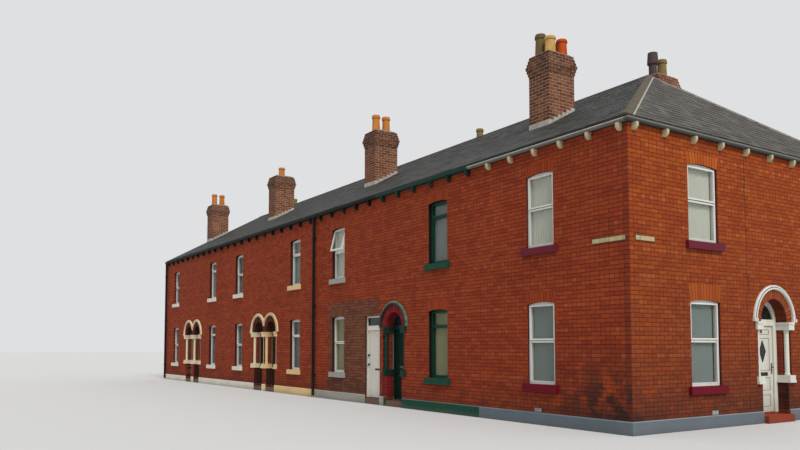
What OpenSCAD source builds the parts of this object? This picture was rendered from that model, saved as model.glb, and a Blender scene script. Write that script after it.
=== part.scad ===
// Corner end of a brick terrace: a hipped corner house and the houses that follow it in handed pairs.
// Sizes run from the street corner at pavement level: the row leaves it along -X, the side street along +Y.
// The whole row is then moved so that its origin is the middle of its footprint, at pavement level.

/* [Row] */
// Houses that follow the corner house, always in pairs
terrace_houses = 6; // [4:2:6]
// Width of the corner house, from the side street to the line of its party wall
corner_w = 4370; // [4200:10:4800]
// Width of every other house, between the lines of its party walls
house_w = 4060; // [3900:10:4500]
// Depth of the row, from street front to rear face
depth = 10000; // [9600:10:11000]
// Thickness of the outer walls
wall_t = 330; // [300:5:400]
// Thickness of the party walls
party_t = 230; // [215:5:300]

/* [Storeys] */
// Height of the ground floor above the pavement
floor_z = 180; // [160:5:220]
// Height of the ceiling over the ground storey, where the upper walls start
storey_z = 3000; // [2950:10:3300]
// Thickness of the upper floor
upper_floor_t = 200; // [150:5:300]
// Height of the roof's underside at the outer face of the walls
eaves_z = 5730; // [5650:10:6200]
// Height of the painted plinth
plinth_h = 250; // [200:10:320]
// Distance that the plinth stands out from the wall
plinth_out = 25; // [15:5:40]

/* [Roof] */
// Thickness of slates, battens and rafters together, measured upright
roof_t = 170; // [140:5:220]
// Height of the ridge above the pavement
ridge_z = 8650; // [8300:10:9200]
// Distance in plan from the side street wall to the foot of the ridge
hip_run = 3400; // [3000:10:3800]
// Distance that the lowest slates reach over the gutter
slate_over = 70; // [60:5:90]
// Thickness of the slates where they reach over the gutter
slate_edge_t = 30; // [20:2:34]
// Thickness of the ridge and hip coverings
cap_t = 22; // [15:1:35]
// Width of the ridge covering on each slope, in plan
ridge_cap_w = 150; // [120:5:200]
// Width of the hip covering on the long slopes, in plan
hip_cap_w = 90; // [60:5:160]
// Width of the front hip covering on the hipped end, along the row
hip_flashing_w = 160; // [150:5:450]
// Width of the rear hip covering on the hipped end, along the row
rear_hip_flashing_w = 150; // [120:5:200]

/* [Windows] */
// Width of the street and rear windows
win_w = 800; // [700:10:950]
// Width of the side street windows
end_win_w = 960; // [800:10:1100]
// Height of the ground storey windows, to the crown of the head
win_h = 1690; // [1500:10:1800]
// Height of the upper storey windows, to the crown of the head
upper_win_h = 1560; // [1400:10:1650]
// Rise of the cambered window heads
head_rise = 40; // [30:5:80]
// Height of the ground storey sills' top above the pavement
sill_z = 830; // [750:10:950]
// Height of the upper storey sills' top above the pavement
upper_sill_z = 3660; // [3600:10:3800]
// Height of a sill
sill_h = 150; // [120:5:200]
// Distance that a sill runs past its window at each side, on the corner house and the green one
sill_ends = 105; // [80:5:160]
// Distance that a sill runs past its window at each side, on the other houses
short_sill_ends = 55; // [40:5:80]
// Distance that a sill stands out from the wall
sill_out = 80; // [50:5:110]
// Depth of a sill inside the face of the wall
sill_in = 200; // [180:5:240]
// Distance from the face of the wall to the window frames
reveal = 105; // [80:5:120]
// Distance from the face of the wall to the corner house's newer window frames
corner_reveal = 50; // [40:5:80]
// Depth of a window frame from front to back
frame_d = 70; // [50:5:90]
// Width of a window frame's members
frame_w = 65; // [40:5:70]
// Height of the bar between the upper and lower lights
bar_h = 75; // [40:5:80]
// Angle at which the refaced house's top light stands open
open_angle = 14; // [8:1:20]
// Width of the open light's rim
sash_w = 45; // [35:5:55]
// Thickness of the open light's rim
sash_t = 40; // [30:5:45]
// Thickness of the glazing
glass_t = 20; // [10:2:28]
// Distance from the corner to the middle of the corner house's street window
corner_win_x = 2300; // [2100:10:2600]
// Distance from a pair's shared wall to the middle of each house's window
win_off = 2550; // [2400:10:2800]
// Distance from the street front to the middle of the first side street window
end_win_y = 2220; // [2000:10:2600]

/* [Doors] */
// Width of the street doorways
door_w = 800; // [760:10:860]
// Distance from a pair's shared wall to the middle of each doorway
door_off = 550; // [520:10:620]
// Width of the side street doorway
end_door_w = 1000; // [900:10:1100]
// Distance from the street front to the middle of the side street doorway
end_door_y = 4620; // [4400:10:5000]
// Height at which the door arches spring
spring_z = 2130; // [2110:10:2300]
// Height of the flat head over the plain doorway
flat_head_z = 2460; // [2400:10:2600]
// Distance from the face of the wall to the plain doorway's frame
plain_door_set = 60; // [50:5:120]
// Height of the transom's underside, above the pavement
transom_z = 2055; // [2000:5:2080]
// Height of the transom bar
transom_h = 135; // [80:5:150]
// Depth of the door frames from front to back
door_frame_d = 80; // [70:5:100]
// Width of the street door frames' jambs
jamb_w = 45; // [40:5:60]
// Width of the side street door frame's jambs
end_jamb_w = 105; // [60:5:120]
// Thickness of a door leaf
leaf_t = 44; // [38:2:54]
// Depth of the panels sunk in a door leaf
panel_d = 8; // [5:1:12]
// Width of the leaf's members round its panels
stile_w = 110; // [90:5:130]
// Clearance round a door leaf that opens
leaf_gap = 8; // [7:1:10]
// Distance that the stop overlaps the leaf's edge
stop_w = 12; // [8:2:20]
// Height of the step in front of a door
step_h = 150; // [120:5:170]
// Distance that the side street step stands out from the wall
step_out = 120; // [60:10:160]
// Radius of a hinge knuckle
knuckle_r = 7; // [6:1:9]
// Distance between a hinge knuckle and the inner face of the leaf
knuckle_lift = 3; // [2:1:5]
// Width of a hinge's flange
flange_w = 24; // [20:1:30]
// Height of a hinge
hinge_h = 100; // [75:5:120]
// Clearance between the knuckles of a hinge
knuckle_gap = 0.5; // [0.3:0.1:1]

/* [Door surrounds] */
// Radial width of the brick arch ring
ring_w = 190; // [150:10:230]
// Radial width of the hood mould
hood_w = 100; // [70:5:130]
// Distance that the hood mould stands out from the wall
hood_out = 60; // [50:5:80]
// Distance that the outer roll of the hood mould lies back from the inner one
hood_step = 10; // [0:5:20]
// Width of a label stop
stop_block_w = 130; // [100:5:150]
// Height of a label stop
stop_block_h = 70; // [50:5:100]
// Height of the cap moulding on the impost and base blocks
cap_h = 50; // [30:5:70]
// Distance that the cap moulding stands out from its block
cap_out = 14; // [8:1:20]
// Height of the impost blocks' underside
impost_z = 1960; // [1850:10:2000]
// Height of the base blocks' underside
base_z = 820; // [700:10:900]
// Height of a base block
base_h = 160; // [120:5:200]
// Width of a block in the face of the wall
block_w = 200; // [150:5:230]
// Width of the block beside the refaced house
short_block_w = 100; // [60:5:110]
// Distance that a block stands out from the wall
block_out = 50; // [30:5:70]
// Distance that a block reaches into the doorway
block_in = 20; // [10:5:30]
// Diameter of a nook shaft
shaft_d = 100; // [90:5:105]
// Diameter of the rings at the foot and the neck of a nook shaft
ring_d = 120; // [110:2:122]
// Height of those rings
ring_h = 35; // [25:5:50]
// Side of the square nook that the shaft stands in
nook = 125; // [125:5:140]

/* [Gutters] */
// Distance between the wall and the back of the gutter
gutter_gap = 15; // [10:5:30]
// Width of the gutter
gutter_w = 105; // [100:5:130]
// Height of the green and the black gutters
gutter_h = 90; // [80:5:95]
// Height of the pale gutter
pale_gutter_h = 65; // [55:5:75]
// Thickness of the gutter's walls
gutter_t = 14; // [8:1:28]
// Radius of the gutter's lower edges
gutter_r = 40; // [30:5:45]
// Distance between the roof's underside at the wall face and the gutter's underside
gutter_drop = 0; // [0:5:30]
// Height of a gutter bracket
bracket_h = 140; // [120:5:180]
// Distance that a bracket stands out from the wall
bracket_out = 115; // [100:5:130]
// Width of a bracket
bracket_w = 70; // [60:5:90]
// Distance from the corner to the first bracket
bracket_first = 150; // [120:10:300]
// Distance between street brackets
bracket_step = 745; // [600:5:900]
// Distance between side street brackets
end_bracket_step = 873; // [700:1:960]
// Length of the coloured gutter past the corner house's party line
gutter_lap = 200; // [100:10:300]
// Diameter of a downpipe
pipe_d = 90; // [75:5:100]
// Clearance between a downpipe and the plinth
pipe_lift = 3; // [2:1:8]
// Height of a downpipe's foot above the pavement
pipe_foot = 60; // [40:10:120]
// Height of a downpipe's collar
collar_h = 60; // [40:5:80]
// Distance that a collar stands out from its downpipe
collar_out = 10; // [5:1:15]

/* [Chimneys] */
// Width of a stack along the row
stack_w = 690; // [600:10:800]
// Depth of a stack across the row
stack_d = 870; // [700:10:1000]
// Distance from the street front to the front stacks
stack_y = 2030; // [1800:10:2400]
// Distance from the street front to the rear stacks
rear_stack_y = 6200; // [6150:10:7000]
// Height of the front stacks
stack_z = 8880; // [8700:10:9300]
// Height of the rear stacks
rear_stack_z = 9150; // [8900:10:9500]
// Height of one brick course
course = 82; // [75:1:85]
// Distance that the widest course of a stack's head stands out
head_out = 60; // [45:3:90]
// Thickness of the lead flashings
lead_t = 12; // [8:1:20]
// Height of the lead flashings above the slates
lead_h = 130; // [90:5:180]
// Radius of a chimney pot at its foot
pot_r = 140; // [120:5:150]
// Distance between the long edge of a stack and the middle of a pot
pot_in = 175; // [160:5:200]
// Distance between the short edge of a stack and the middle of a pot
pot_back = 235; // [180:5:260]
// Height of a short chimney pot
pot_h = 440; // [350:10:500]
// Height of a tall chimney pot
tall_pot_h = 600; // [520:10:700]
// Height of the cowled pot
cowl_pot_h = 720; // [620:10:800]
// Radius of a flue
flue_r = 90; // [80:5:100]

/* [Hidden] */

BRICK = [0.62, 0.22, 0.13];
BROWN_BRICK = [0.42, 0.26, 0.19];
SLATE = [0.24, 0.25, 0.27];
CREAM = [0.86, 0.80, 0.66];
WHITE = [0.92, 0.92, 0.90];
GREEN = [0.05, 0.25, 0.18];
MAROON = [0.38, 0.07, 0.13];
BLUE_GREY = [0.42, 0.50, 0.58];
GREY = [0.60, 0.61, 0.60];
BLACK = [0.07, 0.07, 0.08];
BUFF = [0.76, 0.60, 0.33];
TERRACOTTA = [0.76, 0.33, 0.14];
LEAD = [0.70, 0.71, 0.72];
GLASS = [0.55, 0.65, 0.68, 0.45];
TIMBER = [0.60, 0.48, 0.34];
STONE = [0.55, 0.45, 0.38];

// Cuts run this much past a face that they open
past = 20;
ROUND = 96;

function party_x(i) = corner_w + i * house_w;
pairs = terrace_houses / 2;
function pair_x(k) = party_x(2 * k + 1);
row_len = party_x(terrace_houses) + party_t / 2;
roof_top_z = eaves_z + roof_t;
pitch = (ridge_z - roof_top_z) / (depth / 2);
hip_pitch = (ridge_z - roof_top_z) / hip_run;
apex = [-hip_run, depth / 2];
gutter_z = eaves_z - gutter_drop;
transoms = [0.47, 0.25, 0.47, 0.33, 0.50, 0.25, 0.50];
house_paint = [MAROON, GREEN, GREY, CREAM, WHITE, WHITE, WHITE];
plinth_paint = [BLUE_GREY, GREEN, GREY, CREAM, CREAM, WHITE, CREAM];
// Distances from the corner to the middles of the street windows, one for each house
window_xs = concat([corner_win_x], [for (k = [0:pairs - 1], s = [-1, 1]) pair_x(k) + s * win_off]);
end_window_ys = [end_win_y, depth - end_win_y];
houses = terrace_houses + 1;
// Feet and heads of the door panels, as shares of a leaf's height
corner_panels = [[0.06, 0.2], [0.25, 0.4], [0.48, 0.86], [0.9, 0.96]];
old_panels = [[0.07, 0.38], [0.5, 0.93]];
plain_panels = [[0.9, 0.94]];
door_face = wall_t - door_frame_d;
leaf_in = wall_t;
leaf_out = wall_t - leaf_t;
// A closed leaf lies behind a stop of this depth
stop_d = leaf_out - leaf_gap - door_face;
// Distances of a hinge's axis from the edge of the leaf and from its inner face
hinge_out = leaf_gap / 2;
hinge_set = knuckle_r + knuckle_lift;

module place() translate([row_len / 2, -depth / 2, 0]) children();

// A shape drawn as width by height, made solid from depth y0 to y1 behind the street front
module along_street(y0, y1) translate([0, y1, 0]) rotate([90, 0, 0]) linear_extrude(y1 - y0) children();

// A shape drawn as distance from the street front by height, made solid from x0 to x1
module along_side(x0, x1) translate([x0, 0, 0]) rotate([90, 0, 90]) linear_extrude(x1 - x0) children();

// The space below a roof plane that meets the outer wall faces at height z and runs past them by over
module roof_space(z, over) {
    intersection() {
        along_side(-row_len, over) polygon([
            [-over, 0], [-over, z - pitch * over], [depth / 2, z + pitch * depth / 2],
            [depth + over, z - pitch * over], [depth + over, 0]
        ]);
        along_street(-over, depth + over) polygon([
            [over, 0], [over, z - hip_pitch * over], [-row_len, z + hip_pitch * row_len], [-row_len, 0]
        ]);
    }
}

// Outline of a window opening with a cambered head, its foot at the origin
module window_shape(w, h, rise) {
    r = (w * w / 4 + rise * rise) / (2 * rise);
    translate([-w / 2, 0]) square([w, h - rise]);
    intersection() {
        translate([-w / 2, h - 2 * rise]) square([w, 2 * rise]);
        translate([0, h - r]) circle(r = r, $fn = ROUND);
    }
}

// Outline of a doorway with a round head, from height z0 up
module arch_shape(w, z0) {
    translate([-w / 2, z0]) square([w, spring_z - z0]);
    intersection() {
        translate([0, spring_z]) circle(d = w, $fn = ROUND);
        translate([-w / 2, spring_z]) square([w, w / 2]);
    }
}

// Openings and sill seats of one storey's windows, cut into a street or rear wall that starts at y0
module street_window_cuts(sill, h, front) {
    y0 = front ? -past : depth - wall_t - past;
    for (x = window_xs) translate([-x, 0, 0]) {
        along_street(y0, y0 + wall_t + 2 * past) translate([0, sill]) window_shape(win_w, h, head_rise);
        sill_block(win_w, sill, front ? 0 : 1, past, street_sill_ends(x));
    }
}

function street_sill_ends(x) = x < party_x(1) ? sill_ends : short_sill_ends;

// A sill: side 0 faces the street, side 1 the rear; extra lengthens it outwards for a cut
module sill_block(w, z, side, extra, ends) {
    len = w + 2 * ends;
    translate([0, side * depth, 0]) mirror([0, side, 0])
        translate([-len / 2, -sill_out - extra, z - sill_h]) cube([len, sill_out + sill_in + extra, sill_h]);
}

module end_sill_block(z, extra) {
    len = end_win_w + 2 * sill_ends;
    translate([-sill_in, -len / 2, z - sill_h]) cube([sill_out + sill_in + extra, len, sill_h]);
}

module end_window_cuts(sill, h) {
    for (y = end_window_ys) translate([0, y, 0]) {
        along_side(-wall_t - past, past) translate([0, sill]) window_shape(end_win_w, h, head_rise);
        end_sill_block(sill, past);
    }
}

// Jamb blocks and nook of one side of a doorway: the jamb's edge is at the origin, the wall lies along +X
module jamb_blocks(z, h, w, extra) {
    translate([-block_in, -block_out - extra, z]) cube([w + block_in, block_out + extra + door_face, h]);
}

// The cap moulding of a block: it goes along the face of the wall and back into the doorway
module block_cap(z, w) {
    translate([-block_in - cap_out, -block_out - cap_out, z]) {
        cube([w + block_in + cap_out, block_out + cap_out, cap_h]);
        cube([block_in + cap_out, block_out + cap_out + door_face, cap_h]);
    }
}

module jamb_cuts(w) {
    jamb_blocks(base_z, base_h, w, past);
    jamb_blocks(impost_z, spring_z - impost_z, w, past);
    translate([-past, -past, base_z]) cube([nook + past, nook + past, spring_z - base_z]);
}

// Places its children at the jambs of a doorway in the street front whose middle is x from the corner
module at_street_jambs(x) {
    translate([-x + door_w / 2, 0, 0]) children();
    translate([-x - door_w / 2, 0, 0]) mirror([1, 0, 0]) children();
}

module at_end_jambs() {
    translate([0, end_door_y, 0]) rotate([0, 0, 90]) {
        translate([end_door_w / 2, 0, 0]) children();
        translate([-end_door_w / 2, 0, 0]) mirror([1, 0, 0]) children();
    }
}

function arched(k, s) = k > 0 || s < 0;
function door_shift(k, s) = arched(k, s) ? 0 : plain_door_set - door_face;
function door_x(k, s) = pair_x(k) + s * door_off;
zone_half = door_off + door_w / 2;
pier_w = 2 * door_off - door_w;

// Places its children at a pair's outer jamb: the jamb's edge is at the origin, the wall lies along +X
module at_outer_jamb(k, s)
    translate([-pair_x(k), 0, 0]) mirror([s > 0 ? 1 : 0, 0, 0]) translate([zone_half, 0, 0]) children();

// Places its children in the same way at the side of the pier between a pair's doorways
module at_pier_jamb(k, s)
    translate([-pair_x(k), 0, 0]) mirror([s > 0 ? 1 : 0, 0, 0])
        translate([pier_w / 2, 0, 0]) mirror([1, 0, 0]) children();

// Cuts for every jamb block and nook along the street front
module street_jamb_cuts() {
    for (k = [0:pairs - 1]) {
        for (s = [-1, 1]) if (arched(k, s)) at_outer_jamb(k, s) jamb_cuts(block_w);
        pier_cuts(k);
    }
}

module pier_cuts(k) {
    for (s = [-1, 1]) if (arched(k, s))
        at_pier_jamb(k, s) jamb_cuts(k > 0 ? pier_w / 2 + past / 2 : short_block_w);
}

module ground_floor() {
    place() color(STONE) floor_slabs(0, floor_z);
}

module upper_floor() {
    place() color(TIMBER) floor_slabs(storey_z, upper_floor_t);
}

module floor_slabs(z, t) {
    for (i = [0:terrace_houses]) {
        x0 = i == 0 ? wall_t : party_x(i - 1) + party_t / 2;
        x1 = party_x(i) - party_t / 2;
        translate([-x1, wall_t, z]) cube([x1 - x0, depth - 2 * wall_t, t]);
    }
}

module party_wall(i) {
    difference() {
        intersection() {
            translate([-party_x(i) - party_t / 2, wall_t, 0]) cube([party_t, depth - 2 * wall_t, ridge_z]);
            roof_space(eaves_z, 0);
        }
        if (i % 2 == 0) stack_shafts(i, past);
    }
}

module party_walls() {
    place() color(BRICK) for (i = [0:terrace_houses - 1]) party_wall(i);
}

module end_party_wall() {
    place() color(BRICK) party_wall(terrace_houses);
}

module front_wall_ground() {
    place() color(BRICK) difference() {
        along_street(0, wall_t) difference() {
            translate([-row_len, 0]) square([row_len, storey_z]);
            for (k = [0:pairs - 1]) translate([-pair_x(k) - zone_half, -past])
                square([2 * zone_half, storey_z + 2 * past]);
        }
        street_window_cuts(sill_z, win_h, true);
        street_jamb_cuts();
    }
}

module front_door_piers() {
    place() color(BRICK) for (k = [0:pairs - 1]) difference() {
        translate([-pair_x(k) - pier_w / 2, 0, 0]) cube([pier_w, wall_t, spring_z]);
        pier_cuts(k);
    }
}

module front_door_arches() {
    place() color(BRICK) for (k = [0:pairs - 1]) along_street(0, wall_t) difference() {
        translate([-pair_x(k) - zone_half, spring_z]) square([2 * zone_half, storey_z - spring_z]);
        for (s = [-1, 1]) translate([-door_x(k, s), 0]) {
            if (arched(k, s)) arch_shape(door_w, 0);
            else translate([-door_w / 2, 0]) square([door_w, flat_head_z]);
        }
    }
}

module front_wall_upper() {
    place() color(BRICK) difference() {
        intersection() {
            translate([-row_len, 0, storey_z]) cube([row_len, wall_t, ridge_z - storey_z]);
            roof_space(eaves_z, 0);
        }
        street_window_cuts(upper_sill_z, upper_win_h, true);
    }
}

module end_wall_ground() {
    place() color(BRICK) difference() {
        along_side(-wall_t, 0) difference() {
            translate([wall_t, 0]) square([depth - 2 * wall_t, storey_z]);
            translate([end_door_y - end_door_w / 2, -past]) square([end_door_w, storey_z + 2 * past]);
        }
        end_window_cuts(sill_z, win_h);
        at_end_jambs() jamb_cuts(block_w);
    }
}

module end_door_arch() {
    place() color(BRICK) along_side(-wall_t, 0) difference() {
        translate([end_door_y - end_door_w / 2, spring_z]) square([end_door_w, storey_z - spring_z]);
        translate([end_door_y, 0]) arch_shape(end_door_w, 0);
    }
}

module end_wall_upper() {
    place() color(BRICK) difference() {
        intersection() {
            translate([-wall_t, wall_t, storey_z]) cube([wall_t, depth - 2 * wall_t, ridge_z - storey_z]);
            roof_space(eaves_z, 0);
        }
        end_window_cuts(upper_sill_z, upper_win_h);
    }
}

module rear_wall_ground() {
    place() color(BRICK) difference() {
        translate([-row_len, depth - wall_t, 0]) cube([row_len, wall_t, storey_z]);
        street_window_cuts(sill_z, win_h, false);
    }
}

module rear_wall_upper() {
    place() color(BRICK) difference() {
        intersection() {
            translate([-row_len, depth - wall_t, storey_z]) cube([row_len, wall_t, ridge_z - storey_z]);
            roof_space(eaves_z, 0);
        }
        street_window_cuts(upper_sill_z, upper_win_h, false);
    }
}

// Plinth section, drawn as distance out from the wall by height, with a weathered top edge
module plinth_shape() {
    polygon([[0, 0], [plinth_out, 0], [plinth_out, plinth_h - plinth_out], [0, plinth_h]]);
}

// A length of plinth on the street front, between two distances from the corner
module street_plinth(x0, x1) {
    translate([-x1, 0, 0]) mirror([0, 1, 0]) along_side(0, x1 - x0) plinth_shape();
}

module plinths() {
    place() {
        color(plinth_paint[0]) {
            union() {
                street_plinth(-plinth_out, corner_w);
                rotate([0, 0, 90]) street_plinth(-(end_door_y - end_door_w / 2), plinth_out);
            }
            rotate([0, 0, 90]) street_plinth(-depth, -(end_door_y + end_door_w / 2));
        }
        for (k = [0:pairs - 1]) {
            color(plinth_paint[2 * k + 1]) street_plinth(party_x(2 * k), pair_x(k) - zone_half);
            color(plinth_paint[2 * k + 1]) street_plinth(pair_x(k) - pier_w / 2, pair_x(k));
            color(plinth_paint[2 * k + 2]) street_plinth(pair_x(k), pair_x(k) + pier_w / 2);
            color(plinth_paint[2 * k + 2])
                street_plinth(pair_x(k) + zone_half, k == pairs - 1 ? row_len : party_x(2 * k + 2));
        }
    }
}

module window_sills() {
    place() {
        for (i = [0:houses - 1], z = [sill_z, upper_sill_z], side = [0, 1])
            color(side == 0 ? house_paint[i] : STONE)
                translate([-window_xs[i], 0, 0])
                    sill_block(win_w, z, side, 0, street_sill_ends(window_xs[i]));
        color(house_paint[0]) for (y = end_window_ys, z = [sill_z, upper_sill_z])
            translate([0, y, 0]) end_sill_block(z, 0);
    }
}

// The light above or below the bar of a window whose bar lies at a share of its height from the top
module light_shape(w, h, share, upper) {
    bar_z = h * (1 - share);
    inner = w - 2 * frame_w;
    if (upper) translate([-inner / 2, bar_z + bar_h / 2])
        square([inner, h - frame_w - head_rise / 2 - bar_z - bar_h / 2]);
    else translate([-inner / 2, frame_w]) square([inner, bar_z - bar_h / 2 - frame_w]);
}

module frame_shape(w, h, share) {
    difference() {
        window_shape(w, h, head_rise);
        light_shape(w, h, share, true);
        light_shape(w, h, share, false);
    }
}

function reveal_of(i) = i == 0 ? corner_reveal : reveal;

// The frame of house i's window at height z, in the street wall for side 0, in the rear wall for side 1
module street_frame(i, z, h, side) {
    y0 = side == 0 ? reveal_of(i) : depth - reveal_of(i) - frame_d;
    translate([-window_xs[i], 0, 0]) along_street(y0, y0 + frame_d)
        translate([0, z]) frame_shape(win_w, h, transoms[i]);
}

module end_frame(y, z, h) {
    along_side(-corner_reveal - frame_d, -corner_reveal)
        translate([y, z]) frame_shape(end_win_w, h, transoms[0]);
}

module white_window_frames() {
    place() color(WHITE) {
        for (i = [0:houses - 1], side = [0, 1]) if (i != 1 || side == 1) {
            street_frame(i, sill_z, win_h, side);
            street_frame(i, upper_sill_z, upper_win_h, side);
        }
        at_open_light() difference() {
            open_light(0, 0, sash_t);
            open_light(sash_w, -past, sash_t + past);
        }
        for (y = end_window_ys) {
            end_frame(y, sill_z, win_h);
            end_frame(y, upper_sill_z, upper_win_h);
        }
    }
}

// Places its children at the head of the refaced house's open top light, the street towards -Y
module at_open_light() {
    translate([-window_xs[2], reveal, upper_sill_z + upper_win_h - frame_w - head_rise / 2 + sash_w / 2])
        rotate([-open_angle, 0, 0]) children();
}

// The open light, hung from the origin, smaller all round by inset, from y0 to y1 in front of its frame
module open_light(inset, y0, y1) {
    w = win_w - 2 * frame_w + sash_w;
    h = upper_win_h * transoms[2] - frame_w - head_rise / 2 - bar_h / 2 + sash_w;
    translate([-w / 2 + inset, -y1, -h + inset]) cube([w - 2 * inset, y1 - y0, h - 2 * inset]);
}

module green_window_frames() {
    place() color(GREEN) {
        street_frame(1, sill_z, win_h, 0);
        street_frame(1, upper_sill_z, upper_win_h, 0);
    }
}

module storey_glass(z, h) {
    for (i = [0:houses - 1], side = [0, 1], upper = [true, false]) if (!opened(i, side, z, upper)) {
        mid = reveal_of(i) + (frame_d - glass_t) / 2;
        y0 = side == 0 ? mid : depth - mid - glass_t;
        translate([-window_xs[i], 0, 0]) along_street(y0, y0 + glass_t)
            translate([0, z]) light_shape(win_w, h, transoms[i], upper);
    }
    end_mid = corner_reveal + (frame_d - glass_t) / 2;
    for (y = end_window_ys, upper = [true, false])
        along_side(-end_mid - glass_t, -end_mid) translate([y, z])
            light_shape(end_win_w, h, transoms[0], upper);
}

function opened(i, side, z, upper) = i == 2 && side == 0 && z == upper_sill_z && upper;

module ground_window_glass() {
    place() color(GLASS) storey_glass(sill_z, win_h);
}

module upper_window_glass() {
    place() color(GLASS) {
        storey_glass(upper_sill_z, upper_win_h);
        at_open_light() open_light(sash_w, (sash_t - glass_t) / 2, (sash_t + glass_t) / 2);
    }
}

// Half round of a hood mould's section, its middle at radius c and its crown z out from the wall
function roll(c, z) = [for (a = [180:-20:0]) [c + hood_w / 4 * cos(a), z + hood_w / 4 * (sin(a) - 1)]];

// Section of a hood mould: radius by distance out from the wall, an inner roll and a lower outer one
module hood_section(r) {
    polygon(concat(
        [[r, 0]], roll(r + hood_w / 4, hood_out),
        roll(r + hood_w * 3 / 4, hood_out - hood_step), [[r + hood_w, 0]]
    ));
}

// A round hood mould on the street front, springing line at the origin
module hood(r) {
    rotate([90, 0, 0]) intersection() {
        rotate_extrude($fn = ROUND) hood_section(r);
        translate([-2 * r, 0, 0]) cube([4 * r, 2 * r, hood_out]);
    }
}

module label_stop(r) {
    translate([r + (hood_w - stop_block_w) / 2, -hood_out, 0]) cube([stop_block_w, hood_out, stop_block_h]);
}

module hood_moulds() {
    r = door_w / 2 + ring_w;
    place() {
        color(WHITE) translate([0, end_door_y, spring_z]) rotate([0, 0, 90]) {
            hood(end_door_w / 2 + ring_w);
            label_stop(end_door_w / 2 + ring_w);
            mirror([1, 0, 0]) label_stop(end_door_w / 2 + ring_w);
        }
        for (k = [0:pairs - 1]) color(k == 0 ? GREEN : CREAM) translate([-pair_x(k), 0, spring_z]) {
            for (s = [-1, 1]) if (arched(k, s)) mirror([s > 0 ? 1 : 0, 0, 0]) translate([door_off, 0, 0]) {
                intersection() {
                    hood(r);
                    if (k > 0) translate([-door_off, -depth, 0]) cube([door_off + 2 * r, 2 * depth, 2 * r]);
                }
                label_stop(r);
            }
        }
    }
}

// A moulded jamb block of height h at height z, its cap moulding at height cap_z
module moulded_block(z, h, cap_z, w) {
    jamb_blocks(z, h, w, 0);
    block_cap(cap_z, w);
}

module all_blocks(z, h, cap_z) {
    for (k = [0:pairs - 1]) color(k == 0 ? GREEN : CREAM) {
        for (s = [-1, 1]) if (arched(k, s)) {
            at_outer_jamb(k, s) moulded_block(z, h, cap_z, block_w);
            at_pier_jamb(k, s) moulded_block(z, h, cap_z, k > 0 ? pier_w / 2 : short_block_w);
        }
    }
    color(WHITE) at_end_jambs() moulded_block(z, h, cap_z, block_w);
}

module impost_blocks() {
    place() all_blocks(impost_z, spring_z - impost_z, spring_z - cap_h);
}

module base_blocks() {
    place() all_blocks(base_z, base_h, base_z);
}

// A nook shaft with a ring at its foot and at its neck, standing on the base block
module shaft() {
    h = impost_z - base_z - base_h;
    translate([nook / 2, nook / 2, base_z + base_h]) rotate_extrude($fn = ROUND) polygon([
        [0, 0], [ring_d / 2, 0], [ring_d / 2, ring_h], [shaft_d / 2, ring_h * 1.5],
        [shaft_d / 2, h - ring_h * 1.5], [ring_d / 2, h - ring_h], [ring_d / 2, h], [0, h]
    ]);
}

module nook_shafts() {
    place() {
        color(WHITE) at_end_jambs() shaft();
        for (k = [0:pairs - 1], s = [-1, 1]) if (arched(k, s))
            color(k == 0 ? GREEN : CREAM) at_street_jambs(door_x(k, s)) shaft();
    }
}

// Outline of the hole that the frame leaves above its transom, for a frame as wide as w
module fanlight_shape(w, jamb) {
    intersection() {
        translate([0, spring_z]) circle(r = w / 2 - jamb, $fn = ROUND);
        translate([-w / 2, transom_z + transom_h]) square([w, w]);
    }
}

module overlight_shape(w, jamb) {
    z0 = transom_z + transom_h;
    translate([-w / 2 + jamb, z0]) square([w - 2 * jamb, flat_head_z - jamb - z0]);
}

// The head of a frame, from the transom's underside up
module head_shape(w, jamb, round_head) {
    difference() {
        if (round_head) arch_shape(w, transom_z);
        else translate([-w / 2, transom_z]) square([w, flat_head_z - transom_z]);
        if (round_head) fanlight_shape(w, jamb);
        else overlight_shape(w, jamb);
    }
}

module door_heads() {
    place() {
        color(WHITE) along_side(-wall_t, -door_face)
            translate([end_door_y, 0]) head_shape(end_door_w, end_jamb_w, true);
        for (k = [0:pairs - 1], s = [-1, 1])
            color(k == 0 && s < 0 ? GREEN : WHITE) translate([-door_x(k, s), door_shift(k, s), 0])
                along_street(door_face, wall_t) head_shape(door_w, jamb_w, arched(k, s));
    }
}

module fanlight_glass() {
    y0 = door_face + (door_frame_d - glass_t) / 2;
    place() color(GLASS) {
        along_side(-y0 - glass_t, -y0) translate([end_door_y, 0]) fanlight_shape(end_door_w, end_jamb_w);
        for (k = [0:pairs - 1], s = [-1, 1]) translate([-door_x(k, s), door_shift(k, s), 0])
            along_street(y0, y0 + glass_t) {
                if (arched(k, s)) fanlight_shape(door_w, jamb_w);
                else overlight_shape(door_w, jamb_w);
            }
    }
}

// Heights of the middles of a door's three hinges
hinge_zs = [for (share = [0.12, 0.5, 0.88]) floor_z + share * (transom_z - floor_z)];

// Both jambs of a frame whose doorway is w wide; the street is towards -Y and hinges lie on the -X jamb
module jambs(w, jamb, opens) {
    for (m = [0, 1]) mirror([m, 0, 0]) translate([-w / 2, 0, floor_z]) {
        translate([0, door_face, 0]) cube([jamb, door_frame_d, transom_z - floor_z]);
        if (opens) translate([jamb, door_face, 0]) cube([stop_w, stop_d, transom_z - floor_z]);
    }
    if (opens) for (z = hinge_zs, m = [0, 1]) at_hinge(w, jamb, z)
        mirror([0, 0, m]) translate([0, 0, hinge_h / 6 + knuckle_gap]) mirror([1, 0, 0]) hinge_part();
}

// Places its children on the axis of a hinge at height z
module at_hinge(w, jamb, z) translate([-w / 2 + jamb + hinge_out, leaf_in + hinge_set, z]) children();

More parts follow.
